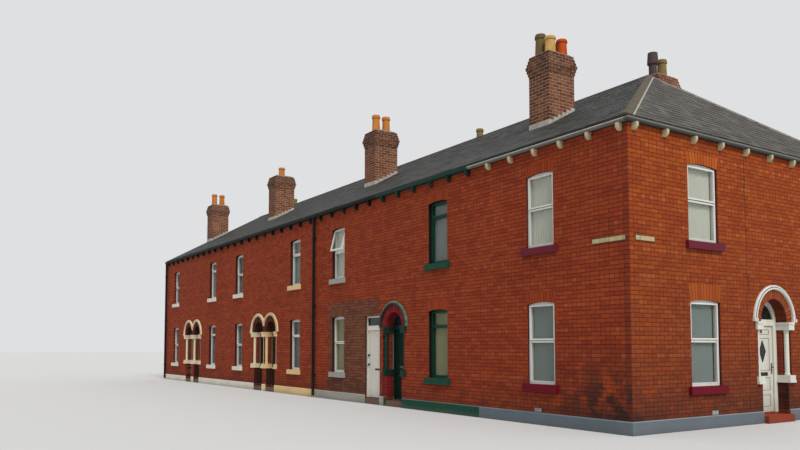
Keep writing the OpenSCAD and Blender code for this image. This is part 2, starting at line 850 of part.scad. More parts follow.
// A third of a hinge: its knuckle, the flange on the inner face and the web between them
module hinge_part() {
    cylinder(r = knuckle_r, h = hinge_h / 3, $fn = 32);
    translate([hinge_out, -hinge_set, 0]) cube([flange_w, knuckle_lift, hinge_h / 3]);
    translate([hinge_out, -hinge_set, 0]) cube([knuckle_r, hinge_set, hinge_h / 3]);
}

// Panels of a leaf w wide and h high, its foot at the origin, listed as share of the height from and to
module panel_shapes(w, h, panels) {
    for (p = panels) translate([-w / 2 + stile_w, p[0] * h]) square([w - 2 * stile_w, (p[1] - p[0]) * h]);
}

// A leaf between jambs that are w apart, with panels sunk in its outer face
module panelled_leaf(w, h, panels) {
    difference() {
        translate([-w / 2, leaf_out, 0]) cube([w, leaf_t, h]);
        along_street(leaf_out - past, leaf_out + panel_d) panel_shapes(w, h, panels);
    }
}

// A leaf that opens, in the same place as its jambs
module hung_leaf(w, jamb, panels) {
    z0 = floor_z + leaf_gap;
    translate([0, 0, z0]) panelled_leaf(w - 2 * jamb - 2 * leaf_gap, transom_z - leaf_gap - z0, panels);
    for (z = hinge_zs) at_hinge(w, jamb, z - hinge_h / 6) hinge_part();
}

module in_end_doorway() translate([0, end_door_y, 0]) rotate([0, 0, 90]) children();

module in_street_doorway(k, s)
    translate([-door_x(k, s), door_shift(k, s), 0]) mirror([s > 0 ? 1 : 0, 0, 0]) children();

module door_jambs() {
    place() {
        color(WHITE) in_end_doorway() jambs(end_door_w, end_jamb_w, true);
        for (k = [0:pairs - 1], s = [-1, 1])
            color(k == 0 && s < 0 ? GREEN : WHITE) in_street_doorway(k, s) jambs(door_w, jamb_w, k == 0);
    }
}

module corner_door() {
    place() color(WHITE) in_end_doorway() hung_leaf(end_door_w, end_jamb_w, corner_panels);
}

module green_door() {
    place() color(GREEN) in_street_doorway(0, -1) hung_leaf(door_w, jamb_w, old_panels);
}

module white_door() {
    place() color(WHITE) in_street_doorway(0, 1) hung_leaf(door_w, jamb_w, plain_panels);
}

module fixed_doors() {
    leaf_w = door_w - 2 * jamb_w;
    place() color(WHITE) for (k = [1:pairs - 1], s = [-1, 1]) translate([-door_x(k, s), 0, 0])
        translate([0, 0, floor_z]) panelled_leaf(leaf_w, transom_z - floor_z, old_panels);
}

// Step section, drawn as depth behind the wall face by height: it rises to the floor under the frame
module step_shape(out, face) {
    polygon([[-out, 0], [-out, step_h], [face, step_h], [face, floor_z], [wall_t, floor_z], [wall_t, 0]]);
}

module door_steps() {
    place() {
        color(TERRACOTTA) translate([0, end_door_y - end_door_w / 2, 0]) rotate([0, 0, 90])
            along_side(0, end_door_w) step_shape(step_out, door_face);
        color(STONE) for (k = [0:pairs - 1], s = [-1, 1])
            translate([-door_x(k, s) - door_w / 2, 0, 0]) along_side(0, door_w)
                step_shape(0, door_face + door_shift(k, s));
    }
}

// Section through a slope: distance in from the wall face by height, up to the distance run
module slope_shape(slope, run) {
    polygon([
        [-slate_over, roof_top_z - slope * slate_over], [run, roof_top_z + slope * run],
        [run, eaves_z + slope * run], [0, eaves_z], [0, roof_top_z - slate_edge_t],
        [-slate_over, roof_top_z - slope * slate_over - slate_edge_t]
    ]);
}

// Distance along X of the hip line, outside the wall face, where the long slopes' eaves end
hip_over = slate_over * pitch / hip_pitch;

module long_slope() {
    intersection() {
        along_side(-row_len, slate_over) slope_shape(pitch, depth / 2);
        linear_extrude(2 * ridge_z)
            polygon([[-row_len, -slate_over], [hip_over, -slate_over], apex, [-row_len, depth / 2]]);
    }
}

module front_roof_slope() {
    place() color(SLATE) difference() {
        long_slope();
        all_stacks_cut();
    }
}

module rear_roof_slope() {
    place() color(SLATE) difference() {
        translate([0, depth, 0]) mirror([0, 1, 0]) long_slope();
        all_stacks_cut();
    }
}

module hipped_roof_end() {
    place() color(SLATE) difference() {
        intersection() {
            mirror([1, 0, 0]) along_street(-slate_over, depth + slate_over) slope_shape(hip_pitch, hip_run);
            linear_extrude(2 * ridge_z) polygon([
                [hip_over, -slate_over], [slate_over, -slate_over], [slate_over, depth + slate_over],
                [hip_over, depth + slate_over], apex
            ]);
        }
        all_stacks_cut();
    }
}

// Skin of even height that lies on all three slopes
module roof_skin(t) {
    difference() {
        roof_space(roof_top_z + t, slate_over);
        roof_space(roof_top_z, slate_over + past);
    }
}

module ridge_tiles() {
    place() color(SLATE) difference() {
        intersection() {
            roof_skin(cap_t);
            translate([-row_len, depth / 2 - ridge_cap_w, 0])
                cube([row_len - hip_run, 2 * ridge_cap_w, 2 * ridge_z]);
        }
        all_stacks_cut();
    }
}

// Plan of the front hip's covering, as wide as w along the row on the hipped end
module hip_band(w) {
    edge_y = (hip_over + w - slate_over) * (depth / 2 + slate_over) / (hip_run + hip_over) - slate_over;
    polygon([
        [hip_over - hip_cap_w, -slate_over], [slate_over, -slate_over], [slate_over, edge_y],
        apex + [w, 0], apex, apex - [0, hip_cap_w]
    ]);
}

module hip_flashings() {
    place() color(STONE) difference() {
        intersection() {
            roof_skin(cap_t);
            union() {
                linear_extrude(2 * ridge_z) hip_band(hip_flashing_w);
                translate([0, depth, 0]) mirror([0, 1, 0])
                    linear_extrude(2 * ridge_z) hip_band(rear_hip_flashing_w);
            }
            translate([-hip_run, -depth, 0]) cube([2 * hip_run, 3 * depth, 2 * ridge_z]);
        }
        all_stacks_cut();
    }
}

// A bracket under the gutter, its seat on the wall at the origin and the street towards -Y
module bracket() {
    lip = 40;
    foot = 25;
    translate([bracket_w / 2, 0, 0]) rotate([0, 0, 180]) along_side(0, bracket_w) polygon(concat(
        [[0, 0], [bracket_out, 0], [bracket_out, -lip]],
        [for (a = [15:15:90]) [foot + (bracket_out - foot) * cos(a), -lip - (bracket_h - lip) * sin(a)]],
        [[0, -bracket_h]]
    ));
}

module gutter_brackets() {
    n = floor((row_len - bracket_first - bracket_w / 2) / bracket_step);
    m = round((depth - 2 * bracket_first) / end_bracket_step);
    place() {
        for (i = [0:n]) {
            x = bracket_first + i * bracket_step;
            color(x < green_from ? CREAM : x < green_to ? GREEN : BLACK)
                translate([-x, 0, gutter_z]) bracket();
            color(x < green_from ? CREAM : BLACK)
                translate([-x, depth, gutter_z]) rotate([0, 0, 180]) bracket();
        }
        color(CREAM) for (j = [0:m])
            translate([0, bracket_first + j * (depth - 2 * bracket_first) / m, gutter_z])
                rotate([0, 0, 90]) bracket();
    }
}

// Outline of a gutter of height h: distance out from the wall by height, made smaller all round by inset
module gutter_shape(inset, h) {
    near = gutter_gap + inset;
    far = gutter_gap + gutter_w - inset;
    foot = gutter_z + inset;
    r = gutter_r - inset;
    top = gutter_z + h + (inset > 0 ? past : 0);
    polygon(concat(
        [[near, top]],
        [for (a = [180:15:270]) [near + r + r * cos(a), foot + r + r * sin(a)]],
        [for (a = [270:15:360]) [far - r + r * cos(a), foot + r + r * sin(a)]],
        [[far, top]]
    ));
}

// The gutter's outline taken along the street front and mitred at the corner
module street_gutter(inset, h) {
    reach = gutter_gap + gutter_w;
    intersection() {
        mirror([0, 1, 0]) along_side(-row_len, reach) gutter_shape(inset, h);
        linear_extrude(2 * ridge_z) polygon([[-row_len, 0], [0, 0], [reach, -reach], [-row_len, -reach]]);
    }
}

// The same outline taken round the street front, the side street end and the rear
module gutter_round(inset, h) {
    reach = gutter_gap + gutter_w;
    street_gutter(inset, h);
    translate([0, depth, 0]) mirror([0, 1, 0]) street_gutter(inset, h);
    intersection() {
        along_street(-reach, depth + reach) gutter_shape(inset, h);
        linear_extrude(2 * ridge_z) polygon([[0, 0], [reach, -reach], [reach, depth + reach], [0, depth]]);
    }
}

module gutter_trough(h) {
    difference() {
        gutter_round(0, h);
        difference() {
            gutter_round(gutter_t, h);
            translate([-row_len, -depth, 0]) cube([gutter_t, 3 * depth, 2 * ridge_z]);
        }
    }
}

// Distances from the corner at which the street gutter changes its paint
green_from = corner_w + gutter_lap;
green_to = party_x(1) + gutter_lap;

module gutter_part(x0, x1, y0, y1, h) {
    intersection() {
        gutter_trough(h);
        translate([-x1, y0, 0]) cube([x1 - x0, y1 - y0, 2 * ridge_z]);
    }
}

module pale_gutters() {
    place() color(CREAM) gutter_part(-depth, green_from, -depth, 2 * depth, pale_gutter_h);
}

module green_gutter() {
    place() color(GREEN) gutter_part(green_from, green_to, -depth, depth / 2, gutter_h);
}

module black_gutters() {
    place() color(BLACK) {
        gutter_part(green_to, row_len + depth, -depth, depth / 2, gutter_h);
        gutter_part(green_from, row_len + depth, depth / 2, 2 * depth, gutter_h);
    }
}

// A downpipe under the street gutter, x from the corner
module downpipe(x) {
    out = plinth_out + pipe_lift + pipe_d / 2;
    translate([-x, -out, pipe_foot]) cylinder(d = pipe_d, h = gutter_z - pipe_foot, $fn = ROUND);
    for (share = [0.12, 0.5, 0.88]) translate([-x, -out, share * gutter_z]) {
        cylinder(d = pipe_d + 2 * collar_out, h = collar_h, $fn = ROUND);
        translate([-pipe_d / 2, 0, 0]) cube([pipe_d, out, collar_h]);
    }
}

module downpipes() {
    place() color(BLACK) for (i = [2:4:terrace_houses]) {
        x = min(party_x(i), row_len - pipe_d - past);
        downpipe(x);
        translate([0, depth, 0]) mirror([0, 1, 0]) downpipe(x);
    }
}

// The end stack stands flush with the plain end wall, the others astride their party wall
function stack_x(i) = min(party_x(i) + stack_w / 2, row_len) - stack_w / 2;
stack_seat_z = eaves_z;

module stack_shaft(i, y, z0, z1) {
    translate([-stack_x(i) - stack_w / 2, y, z0]) cube([stack_w, stack_d, z1 - z0]);
}

// The room that party wall i leaves for its two stacks
module stack_shafts(i, extra) {
    for (y = [stack_y, rear_stack_y]) stack_shaft(i, y, stack_seat_z, ridge_z + extra);
}

module all_stacks_cut() {
    for (i = [0:2:terrace_houses]) stack_shafts(i, depth);
}

// Projections of the courses of a stack's head, from the top down
head_steps = [0, 1 / 3, 2 / 3, 1, 2 / 3, 1 / 3];

module stack(i, y, top) {
    stack_shaft(i, y, stack_seat_z, top);
    for (j = [0:len(head_steps) - 1]) {
        out = head_out * head_steps[j];
        translate([-stack_x(i) - stack_w / 2 - out, y - out, top - (j + 1) * course])
            cube([stack_w + 2 * out, stack_d + 2 * out, course]);
    }
}

module front_stacks() {
    place() color(BROWN_BRICK) for (i = [0:2:terrace_houses]) stack(i, stack_y, stack_z);
}

module rear_stacks() {
    place() color(BROWN_BRICK) for (i = [0:2:terrace_houses]) stack(i, rear_stack_y, rear_stack_z);
}

// Stepped lead round a stack that stands on the front slope, its front face y from the wall
module front_flashing(i, y) {
    run = course / pitch;
    difference() {
        intersection() {
            union() {
                for (j = [0:ceil((stack_d + lead_t) / run)])
                    translate([-stack_x(i) - stack_w / 2 - lead_t, y - lead_t + j * run, eaves_z])
                        cube([stack_w + 2 * lead_t, run, roof_t + pitch * (y + j * run) + lead_h]);
            }
            translate([-stack_x(i) - stack_w / 2 - lead_t, y - lead_t, eaves_z])
                cube([stack_w + 2 * lead_t, stack_d + 2 * lead_t, 2 * ridge_z]);
            translate([-row_len, 0, 0]) cube([row_len, depth, 3 * ridge_z]);
        }
        stack_shaft(i, y, 0, 3 * ridge_z);
        roof_space(roof_top_z, past);
    }
}

module stack_flashings() {
    place() color(LEAD) for (i = [0:2:terrace_houses]) {
        front_flashing(i, stack_y);
        translate([0, depth, 0]) mirror([0, 1, 0]) front_flashing(i, depth - rear_stack_y - stack_d);
    }
}

// Outlines of a pot and of the cowled pot from the foot up: shares of the foot's radius and of the height
pot_outline = [[1, 0], [0.86, 0.8], [1.02, 0.82], [1.02, 0.93], [0.9, 1]];
cowl_outline = [[0.8, 0], [0.8, 0.5], [1.1, 0.55], [1.1, 0.62], [0.95, 1]];

module pot(h, outline) {
    rotate_extrude($fn = 64)
        polygon(concat([[flue_r, 0]], [for (p = outline) [pot_r * p[0], h * p[1]]], [[flue_r, h]]));
}

// Places its children on top of stack i, at a share of the way along the row and back from the street
module on_stack(i, y, top, u, v)
    translate([
        -stack_x(i) + u * (stack_w / 2 - pot_in), y + stack_d / 2 + v * (stack_d / 2 - pot_back), top
    ]) children();

module front_pot(i, h, u, v) on_stack(i, stack_y, stack_z, u, v) pot(h, pot_outline);

module chimney_pots() {
    last = terrace_houses;
    place() {
        color(TERRACOTTA) front_pot(0, pot_h, 1, 1);
        color(BUFF) {
            front_pot(0, tall_pot_h, -1, -1);
            front_pot(0, pot_h, 1, -1);
            front_pot(0, pot_h, -1, 1);
            for (i = [2:4:last], v = [-1, 1]) front_pot(i, tall_pot_h, 0, v);
            for (i = [4:4:last]) front_pot(i, pot_h, 0, 0);
            for (i = [0:2:last]) on_stack(i, rear_stack_y, rear_stack_z, 0, 1) pot(tall_pot_h, pot_outline);
        }
    }
}

module cowled_pot() {
    place() color(BLACK) on_stack(0, rear_stack_y, rear_stack_z, 0, -1) pot(cowl_pot_h, cowl_outline);
}

ground_floor();
upper_floor();
party_walls();
end_party_wall();
front_wall_ground();
front_door_piers();
front_door_arches();
front_wall_upper();
end_wall_ground();
end_door_arch();
end_wall_upper();
rear_wall_ground();
rear_wall_upper();
plinths();
window_sills();
white_window_frames();
green_window_frames();
ground_window_glass();
upper_window_glass();
hood_moulds();
impost_blocks();
base_blocks();
nook_shafts();
corner_door();
green_door();
white_door();
fixed_doors();
door_jambs();
door_heads();
fanlight_glass();
door_steps();
front_roof_slope();
rear_roof_slope();
hipped_roof_end();
ridge_tiles();
hip_flashings();
gutter_brackets();
pale_gutters();
green_gutter();
black_gutters();
downpipes();
front_stacks();
rear_stacks();
stack_flashings();
chimney_pots();
cowled_pot();
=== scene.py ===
"""Dresses the corner end of a brick terrace with its bricks, slates, paint, glass, door furniture and nets."""
import logging
import math
import random
from collections.abc import Callable, Iterable, Iterator
from contextlib import contextmanager
from dataclasses import dataclass, field
from enum import Enum, IntEnum

import bpy
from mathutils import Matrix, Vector


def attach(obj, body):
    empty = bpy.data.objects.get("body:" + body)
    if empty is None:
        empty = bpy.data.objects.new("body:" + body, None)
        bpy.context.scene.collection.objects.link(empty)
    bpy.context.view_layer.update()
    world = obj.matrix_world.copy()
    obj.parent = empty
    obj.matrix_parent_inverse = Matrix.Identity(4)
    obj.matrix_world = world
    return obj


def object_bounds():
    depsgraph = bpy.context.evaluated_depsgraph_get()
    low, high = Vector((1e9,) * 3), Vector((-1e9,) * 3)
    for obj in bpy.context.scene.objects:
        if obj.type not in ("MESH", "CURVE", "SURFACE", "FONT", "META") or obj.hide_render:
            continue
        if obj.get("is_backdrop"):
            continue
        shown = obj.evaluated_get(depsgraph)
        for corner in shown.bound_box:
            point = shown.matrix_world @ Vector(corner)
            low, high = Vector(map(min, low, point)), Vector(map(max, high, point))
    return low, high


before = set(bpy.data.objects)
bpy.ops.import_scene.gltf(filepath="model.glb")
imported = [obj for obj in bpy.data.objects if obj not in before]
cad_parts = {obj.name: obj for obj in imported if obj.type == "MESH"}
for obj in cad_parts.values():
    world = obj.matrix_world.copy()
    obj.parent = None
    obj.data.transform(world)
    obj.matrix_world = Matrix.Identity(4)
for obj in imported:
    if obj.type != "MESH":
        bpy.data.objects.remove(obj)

logging.basicConfig(level=logging.INFO, format="%(message)s")
log = logging.getLogger("terrace")

Point = tuple[float, float]
Triple = tuple[float, float, float]
Colour = Triple
Outline = list[Point]
Tones = tuple[tuple[int, int, int], ...]


def paint(*channels: int) -> Colour:
    """Returns the linear colour of a tone mixed on a 0 to 255 scale."""
    shares = (value / 255 for value in channels)
    return tuple(share / 12.92 if share <= 0.04045 else ((share + 0.055) / 1.055) ** 2.4 for share in shares)


@dataclass(frozen=True)
class RowSizes:
    """Sizes of the row in metres, along it from the street corner and up from the pavement."""
    length: float = 28.845
    depth: float = 10.0
    corner: float = 4.37
    house: float = 4.06
    pairs: tuple[float, ...] = (8.43, 16.55, 24.67)
    windows: tuple[float, ...] = (2.3, 5.88, 10.98, 14.0, 19.1, 22.12, 27.22)
    bars: tuple[float, ...] = (0.47, 0.25, 0.47, 0.33, 0.5, 0.25, 0.5)
    window_w: float = 0.8
    end_window_w: float = 0.96
    end_windows: tuple[float, ...] = (2.22, 7.78)
    sill: float = 0.83
    window_h: float = 1.69
    upper_sill: float = 3.66
    upper_window_h: float = 1.56
    head_rise: float = 0.04
    sill_h: float = 0.15
    sill_ends: float = 0.105
    short_sill_ends: float = 0.055
    reveal: float = 0.105
    corner_reveal: float = 0.05
    frame_w: float = 0.065
    frame_d: float = 0.07
    bar_h: float = 0.075
    door_off: float = 0.55
    door_w: float = 0.8
    end_door_y: float = 4.62
    end_door_w: float = 1.0
    flat_head: float = 2.46
    spring: float = 2.13
    ring: float = 0.19
    hood: float = 0.1
    base: float = 0.82
    base_h: float = 0.16
    impost: float = 1.96
    block_w: float = 0.2
    nook: float = 0.125
    door_reveal: float = 0.25
    plain_door_set: float = 0.06
    plinth: float = 0.25
    eaves: float = 5.73
    roof_top: float = 5.9
    roof_over: float = 0.07
    ridge: float = 8.65
    hip_run: float = 3.4
    course: float = 0.082
    stack_w: float = 0.69
    stack_d: float = 0.87
    stack_y: float = 2.03
    rear_stack_y: float = 6.2
    stack_top: float = 8.88
    rear_stack_top: float = 9.15
    head_out: float = 0.06

    @property
    def storeys(self) -> tuple[Point, Point]:
        """The sill and the height of each storey's windows."""
        return (self.sill, self.window_h), (self.upper_sill, self.upper_window_h)

    def x(self, along: float) -> float:
        """Returns the frame's X of a place that lies so far along the row from the corner."""
        return self.length / 2 - along

    def y(self, back: float) -> float:
        """Returns the frame's Y of a place that lies so far back from the street front."""
        return back - self.depth / 2

    def pitch(self) -> float:
        """Returns the rise of the long slopes for each metre."""
        return (self.ridge - self.roof_top) / (self.depth / 2)

    def hip_pitch(self) -> float:
        """Returns the rise of the hipped end for each metre."""
        return (self.ridge - self.roof_top) / self.hip_run

    def stacks(self) -> list[float]:
        """Returns the distances of the stacks' middles along the row."""
        half = self.stack_w / 2
        return [min(self.corner + i * self.house + half, self.length) - half for i in (0, 2, 4, 6)]


ROW = RowSizes()


class Storey(IntEnum):
    """The storeys of the row."""
    GROUND = 0
    UPPER = 1

    def tail(self) -> str:
        """Returns the storey as the last word of a piece's name."""
        return self.name.lower()


class Laid(IntEnum):
    """The ways in which a brick of a wall is laid."""
    STRETCHER = 0
    HEADER = 1
    ON_END = 2


@dataclass(frozen=True)
class Face:
    """A flat face of the row, drawn as distance along it and distance up it."""
    origin: Triple
    along: Triple
    out: Triple
    rise: Triple = (0.0, 0.0, 1.0)

    def at(self, u: float, v: float, stand: float = 0.0) -> Vector:
        """Returns the place of a point of the drawing that stands so far out from the face."""
        return Vector(self.origin) + Vector(self.along) * u + Vector(self.rise) * v + Vector(self.out) * stand

    def lay(self, outline: Outline, stand: float | Callable[[float], float]) -> list[Vector]:
        """Lays an outline on the face.

        Args:
            outline: corners of a convex outline, anticlockwise.
            stand: distance out from the face, or what gives it for a distance up the face.

        Returns:
            The corners in the frame, in the order that faces outwards.
        """
        laid = [self.at(u, v, stand(v) if callable(stand) else stand) for u, v in outline]
        inwards = Vector(self.along).cross(Vector(self.rise)).dot(Vector(self.out)) < 0
        return laid[::-1] if inwards else laid


STREET = Face((ROW.x(0), ROW.y(0), 0), (-1, 0, 0), (0, -1, 0))
SIDE = Face((ROW.x(0), ROW.y(0), 0), (0, 1, 0), (1, 0, 0))
REAR = Face((ROW.x(0), ROW.y(ROW.depth), 0), (-1, 0, 0), (0, 1, 0))
PARTY = Face((ROW.x(ROW.length), ROW.y(0), 0), (0, 1, 0), (-1, 0, 0))


@dataclass(frozen=True)
class Opening:
    """A window opening, with its number on its wall."""
    face: Face
    number: int
    storey: Storey
    middle: float
    width: float
    sill: float
    height: float

    @property
    def house(self) -> int:
        """The number of its house, from the corner."""
        return 0 if self.face is SIDE else self.number

    @property
    def back(self) -> float:
        """How far the frame's face stands behind the wall's."""
        return ROW.reveal if self.house or self.face is REAR else ROW.corner_reveal

    @property
    def green(self) -> bool:
        """Whether its frame is the green house's."""
        return self.face is STREET and self.number == 1


OPENINGS = [Opening(face, number, storey, middle, width, sill, height)
            for face, middles, width in ((STREET, ROW.windows, ROW.window_w), (REAR, ROW.windows, ROW.window_w),
                                         (SIDE, ROW.end_windows, ROW.end_window_w))
            for number, middle in enumerate(middles)
            for storey, (sill, height) in zip(Storey, ROW.storeys)]

SLIVER = 2e-5


def trimmed(outline: Outline, a: float, b: float, c: float) -> Outline:
    """Trims a convex outline.

    Args:
        outline: its corners.
        a: the half plane's share of u.
        b: its share of v.
        c: the most that a * u + b * v may be.

    Returns:
        The part that lies in the half plane.
    """
    kept: Outline = []
    for (u0, v0), (u1, v1) in zip(outline, outline[1:] + outline[:1]):
        before, after = a * u0 + b * v0 - c, a * u1 + b * v1 - c
        if before <= 0:
            kept.append((u0, v0))
        if before * after < 0:
            share = before / (before - after)
            kept.append((u0 + share * (u1 - u0), v0 + share * (v1 - v0)))
    return kept


def area(outline: Outline) -> float:
    """Returns the area of an outline drawn anticlockwise."""
    turns = zip(outline, outline[1:] + outline[:1])
    return sum(u0 * v1 - u1 * v0 for (u0, v0), (u1, v1) in turns) / 2


def box(u0: float, v0: float, u1: float, v1: float) -> Outline:
    """Returns an upright rectangle between two corners."""
    return [(u0, v0), (u1, v0), (u1, v1), (u0, v1)]


def disc_head(middle: float, spring: float, radius: float, sides: int = 14) -> Outline:
    """Returns a half disc that stands on its springing line."""
    angles = [math.pi * i / sides for i in range(sides + 1)]
    return [(middle + radius * math.cos(a), spring + radius * math.sin(a)) for a in angles]


def cambered(middle: float, width: float, crown: float, inset: float) -> Outline:
    """Returns the top metre of a window opening with its cambered head.

    Args:
        middle: distance of the window's middle along the wall.
        width: width of the opening.
        crown: height of the head's crown.
        inset: distance by which the outline is drawn inside the opening.

    Returns:
        The outline, anticlockwise.
    """
    half, rise = width / 2, ROW.head_rise
    radius = (half * half + rise * rise) / (2 * rise)
    head = [(middle + u * (1 - inset / half), crown - radius + math.sqrt(radius * radius - u * u) - inset)
            for u in (half * (1 - i / 3) for i in range(7))]
    return [(middle - half + inset, crown - 1), (middle + half - inset, crown - 1)] + head


@dataclass
class Hole:
    """A convex hole in a face, and the depth to which the bricks at its edge go back."""
    outline: Outline
    reveal: float = 0.0
    sides: list[Triple] = field(init=False)
    low: Point = field(init=False)
    high: Point = field(init=False)

    def __post_init__(self) -> None:
        """Works out the sides and the bounds of the outline."""
        self.sides = [(v1 - v0, u0 - u1, (v1 - v0) * u0 + (u0 - u1) * v0)
                      for (u0, v0), (u1, v1) in zip(self.outline, self.outline[1:] + self.outline[:1])
                      if math.hypot(u1 - u0, v1 - v0) > 1e-6]
        self.low, self.high = (tuple(pick(axis) for axis in zip(*self.outline)) for pick in (min, max))

    def cut(self, outline: Outline) -> list[Outline] | None:
        """Cuts the hole out of a convex outline.

        Args:
            outline: corners of the outline, anticlockwise.

        Returns:
            The convex pieces that are left, or None where the hole doesn't touch the outline.
        """
        us, vs = zip(*outline)
        if (max(us) <= self.low[0] or min(us) >= self.high[0]
                or max(vs) <= self.low[1] or min(vs) >= self.high[1]):
            return None
        left, rest = [], outline
        for a, b, c in self.sides:
            outside = trimmed(rest, -a, -b, -c)
            if len(outside) > 2 and area(outside) > SLIVER:
                left.append(outside)
            rest = trimmed(rest, a, b, c)
            if len(rest) < 3 or area(rest) < 1e-6:
                return None
        return left


def cut_round(outline: Outline, limits: Iterable[Triple] = (), holes: Iterable[Hole] = (),
              least: float = SLIVER) -> tuple[list[Outline], float]:
    """Trims a brick or slate and cuts it round holes.

    Args:
        outline: corners of its outline, anticlockwise.
        limits: half planes that it stays within.
        holes: what is cut out of it.
        least: area under which a trimmed one is left out.

    Returns:
        The parts that are left, and the deepest reveal among the holes that cut it.
    """
    for limit in limits:
        outline = trimmed(outline, *limit)
    parts, reveal = [outline] if len(outline) > 2 and area(outline) > least else [], 0.0
    for hole in holes:
        kept = []
        for part in parts:
            left = hole.cut(part)
            if left is None:
                kept.append(part)
            else:
                kept += left
                reveal = max(reveal, hole.reveal)
        parts = kept
    return parts, reveal


class BrickKind(Enum):
    """Bricks of the row, each kind with the tones that it was fired to."""
    STREET = ((141, 57, 29), (144, 59, 30), (138, 55, 29), (135, 52, 29), (146, 61, 31), (129, 49, 28))
    # the corner kinds are brighter and more orange than the street's: partly their own tone, partly painted
    # sunlight on the end wall
    CORNER = ((150, 67, 23), (153, 70, 25), (147, 64, 22), (144, 61, 23), (155, 73, 26), (138, 58, 24))
    HEADER = ((145, 62, 33), (151, 69, 39), (140, 58, 31), (136, 54, 29))
    CORNER_HEADER = ((158, 74, 28), (164, 84, 38), (152, 67, 25), (146, 61, 24))
    GAUGED = ((142, 57, 28), (146, 60, 29), (138, 54, 28))
    CORNER_GAUGED = ((168, 80, 28), (174, 86, 31), (161, 74, 26))
    CORNER_RING = ((152, 76, 40), (160, 82, 44), (144, 68, 37))
    SHADED_RING = ((86, 38, 30), (92, 42, 32), (78, 33, 27))
    REFACED = ((113, 67, 48), (106, 61, 45), (119, 72, 52), (99, 57, 43))
    PAINTED = ((128, 32, 36), (134, 36, 40), (122, 30, 34))
    STACK = ((122, 74, 55), (112, 66, 50), (130, 82, 60), (102, 60, 48), (136, 88, 64))
    REAR = ((130, 58, 34), (124, 54, 33), (136, 64, 38), (116, 50, 33))


class Batch:
    """Flat outlines of bricks or slates with their own tones, gathered and made into one piece."""

    def __init__(self, name: str, seed: int) -> None:
        """Starts an empty batch whose tones come from a fixed seed."""
        self.name, self.chance = name, random.Random(seed)
        self.leaves: dict[float, list[tuple[list[Vector], Colour]]] = {}

    def tone(self, tones: Tones, spread: float = 0.05) -> Colour:
        """Picks one fired tone and varies its lightness by a share of up to spread."""
        share = 1 + self.chance.uniform(-spread, spread)
        return tuple(share * channel for channel in paint(*self.chance.choice(tones)))

    def add(self, corners: list[Vector], tone: Colour, thickness: float) -> None:
        """Adds one outline that goes back from its place by a thickness."""
        self.leaves.setdefault(thickness, []).append((corners, tone))

    def build(self, finish: "Finish", slot: str) -> None:
        """Makes the batch into one solid piece.

        Args:
            finish: the finish that reads the tones.
            slot: not used.
        """
        parts = []
        for thickness, leaves in self.leaves.items():
            corners, faces = [], []
            for outline, _ in leaves:
                faces.append(tuple(range(len(corners), len(corners) + len(outline))))
                corners.extend(outline)
            mesh = bpy.data.meshes.new(self.name)
            mesh.from_pydata(corners, [], faces)
            fired = mesh.attributes.new("fired", "FLOAT_COLOR", "FACE")
            fired.data.foreach_set("color", [c for _, tone in leaves for c in (*tone, 1.0)])
            part = bpy.data.objects.new(self.name, mesh)
            bpy.context.collection.objects.link(part)
            alone(part)
            wall = part.modifiers.new("Thickness", "SOLIDIFY")
            wall.thickness, wall.offset = thickness, -1
            bpy.ops.object.modifier_apply(modifier=wall.name)
            parts.append(part)
        settle(parts, self.name, finish)


def alone(*pieces: bpy.types.Object) -> None:
    """Selects the given objects and nothing else, the first as the active one."""
    bpy.ops.object.select_all(action="DESELECT")
    for piece in pieces:
        piece.select_set(True)
    bpy.context.view_layer.objects.active = pieces[0]


def settle(parts: list[bpy.types.Object], name: str, finish: "Finish", body: str = "row") -> None:
    """Joins parts into one piece at the origin, gives it its finish and lets it ride on a body.

    Args:
        parts: the objects that it is made of.
        name: the piece's name.
        finish: its finish.
        body: the body that it rides on.
    """
    alone(*parts)
    if len(parts) > 1:
        bpy.ops.object.join()
    piece = parts[0]
    piece.name = piece.data.name = name
    bpy.ops.object.transform_apply(location=True, rotation=True, scale=True)
    piece.data.materials.clear()
    piece.data.materials.append(finish.material())
    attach(piece, body)
    log.info("%s: %d faces", piece.name, len(piece.data.polygons))


@contextmanager
def edited(piece: bpy.types.Object, chosen: Callable[[Vector], bool] | None = None) -> Iterator[None]:
    """Opens a piece in edit mode with all of it selected, or only some faces.

    Args:
        piece: the object to edit.
        chosen: tells from a face's normal whether it is selected.
    """
    alone(piece)
    bpy.ops.object.mode_set(mode="EDIT")
    bpy.ops.mesh.select_all(action="DESELECT" if chosen else "SELECT")
    if chosen:
        bpy.ops.object.mode_set(mode="OBJECT")
        for face in piece.data.polygons:
            face.select = chosen(face.normal)
        bpy.ops.object.mode_set(mode="EDIT")
    yield
    bpy.ops.object.mode_set(mode="OBJECT")


def rounded(low: Triple, high: Triple, edge: float, segments: int = 2) -> bpy.types.Object:
    """Models a block with rounded edges.

    Args:
        low: its lowest corner.
        high: its highest corner.
        edge: radius of its edges.
        segments: steps in each rounded edge.

    Returns:
        The block, with its place in its mesh.
    """
    bpy.ops.object.select_all(action="DESELECT")
    middle = [(a + b) / 2 for a, b in zip(low, high)]
    bpy.ops.mesh.primitive_cube_add(size=1, location=middle, scale=[b - a for a, b in zip(low, high)])
    block = bpy.context.object
    bpy.ops.object.transform_apply(location=True, rotation=True, scale=True)
    with edited(block):
        bpy.ops.mesh.bevel(offset=edge, segments=segments, affect="EDGES")
    return block


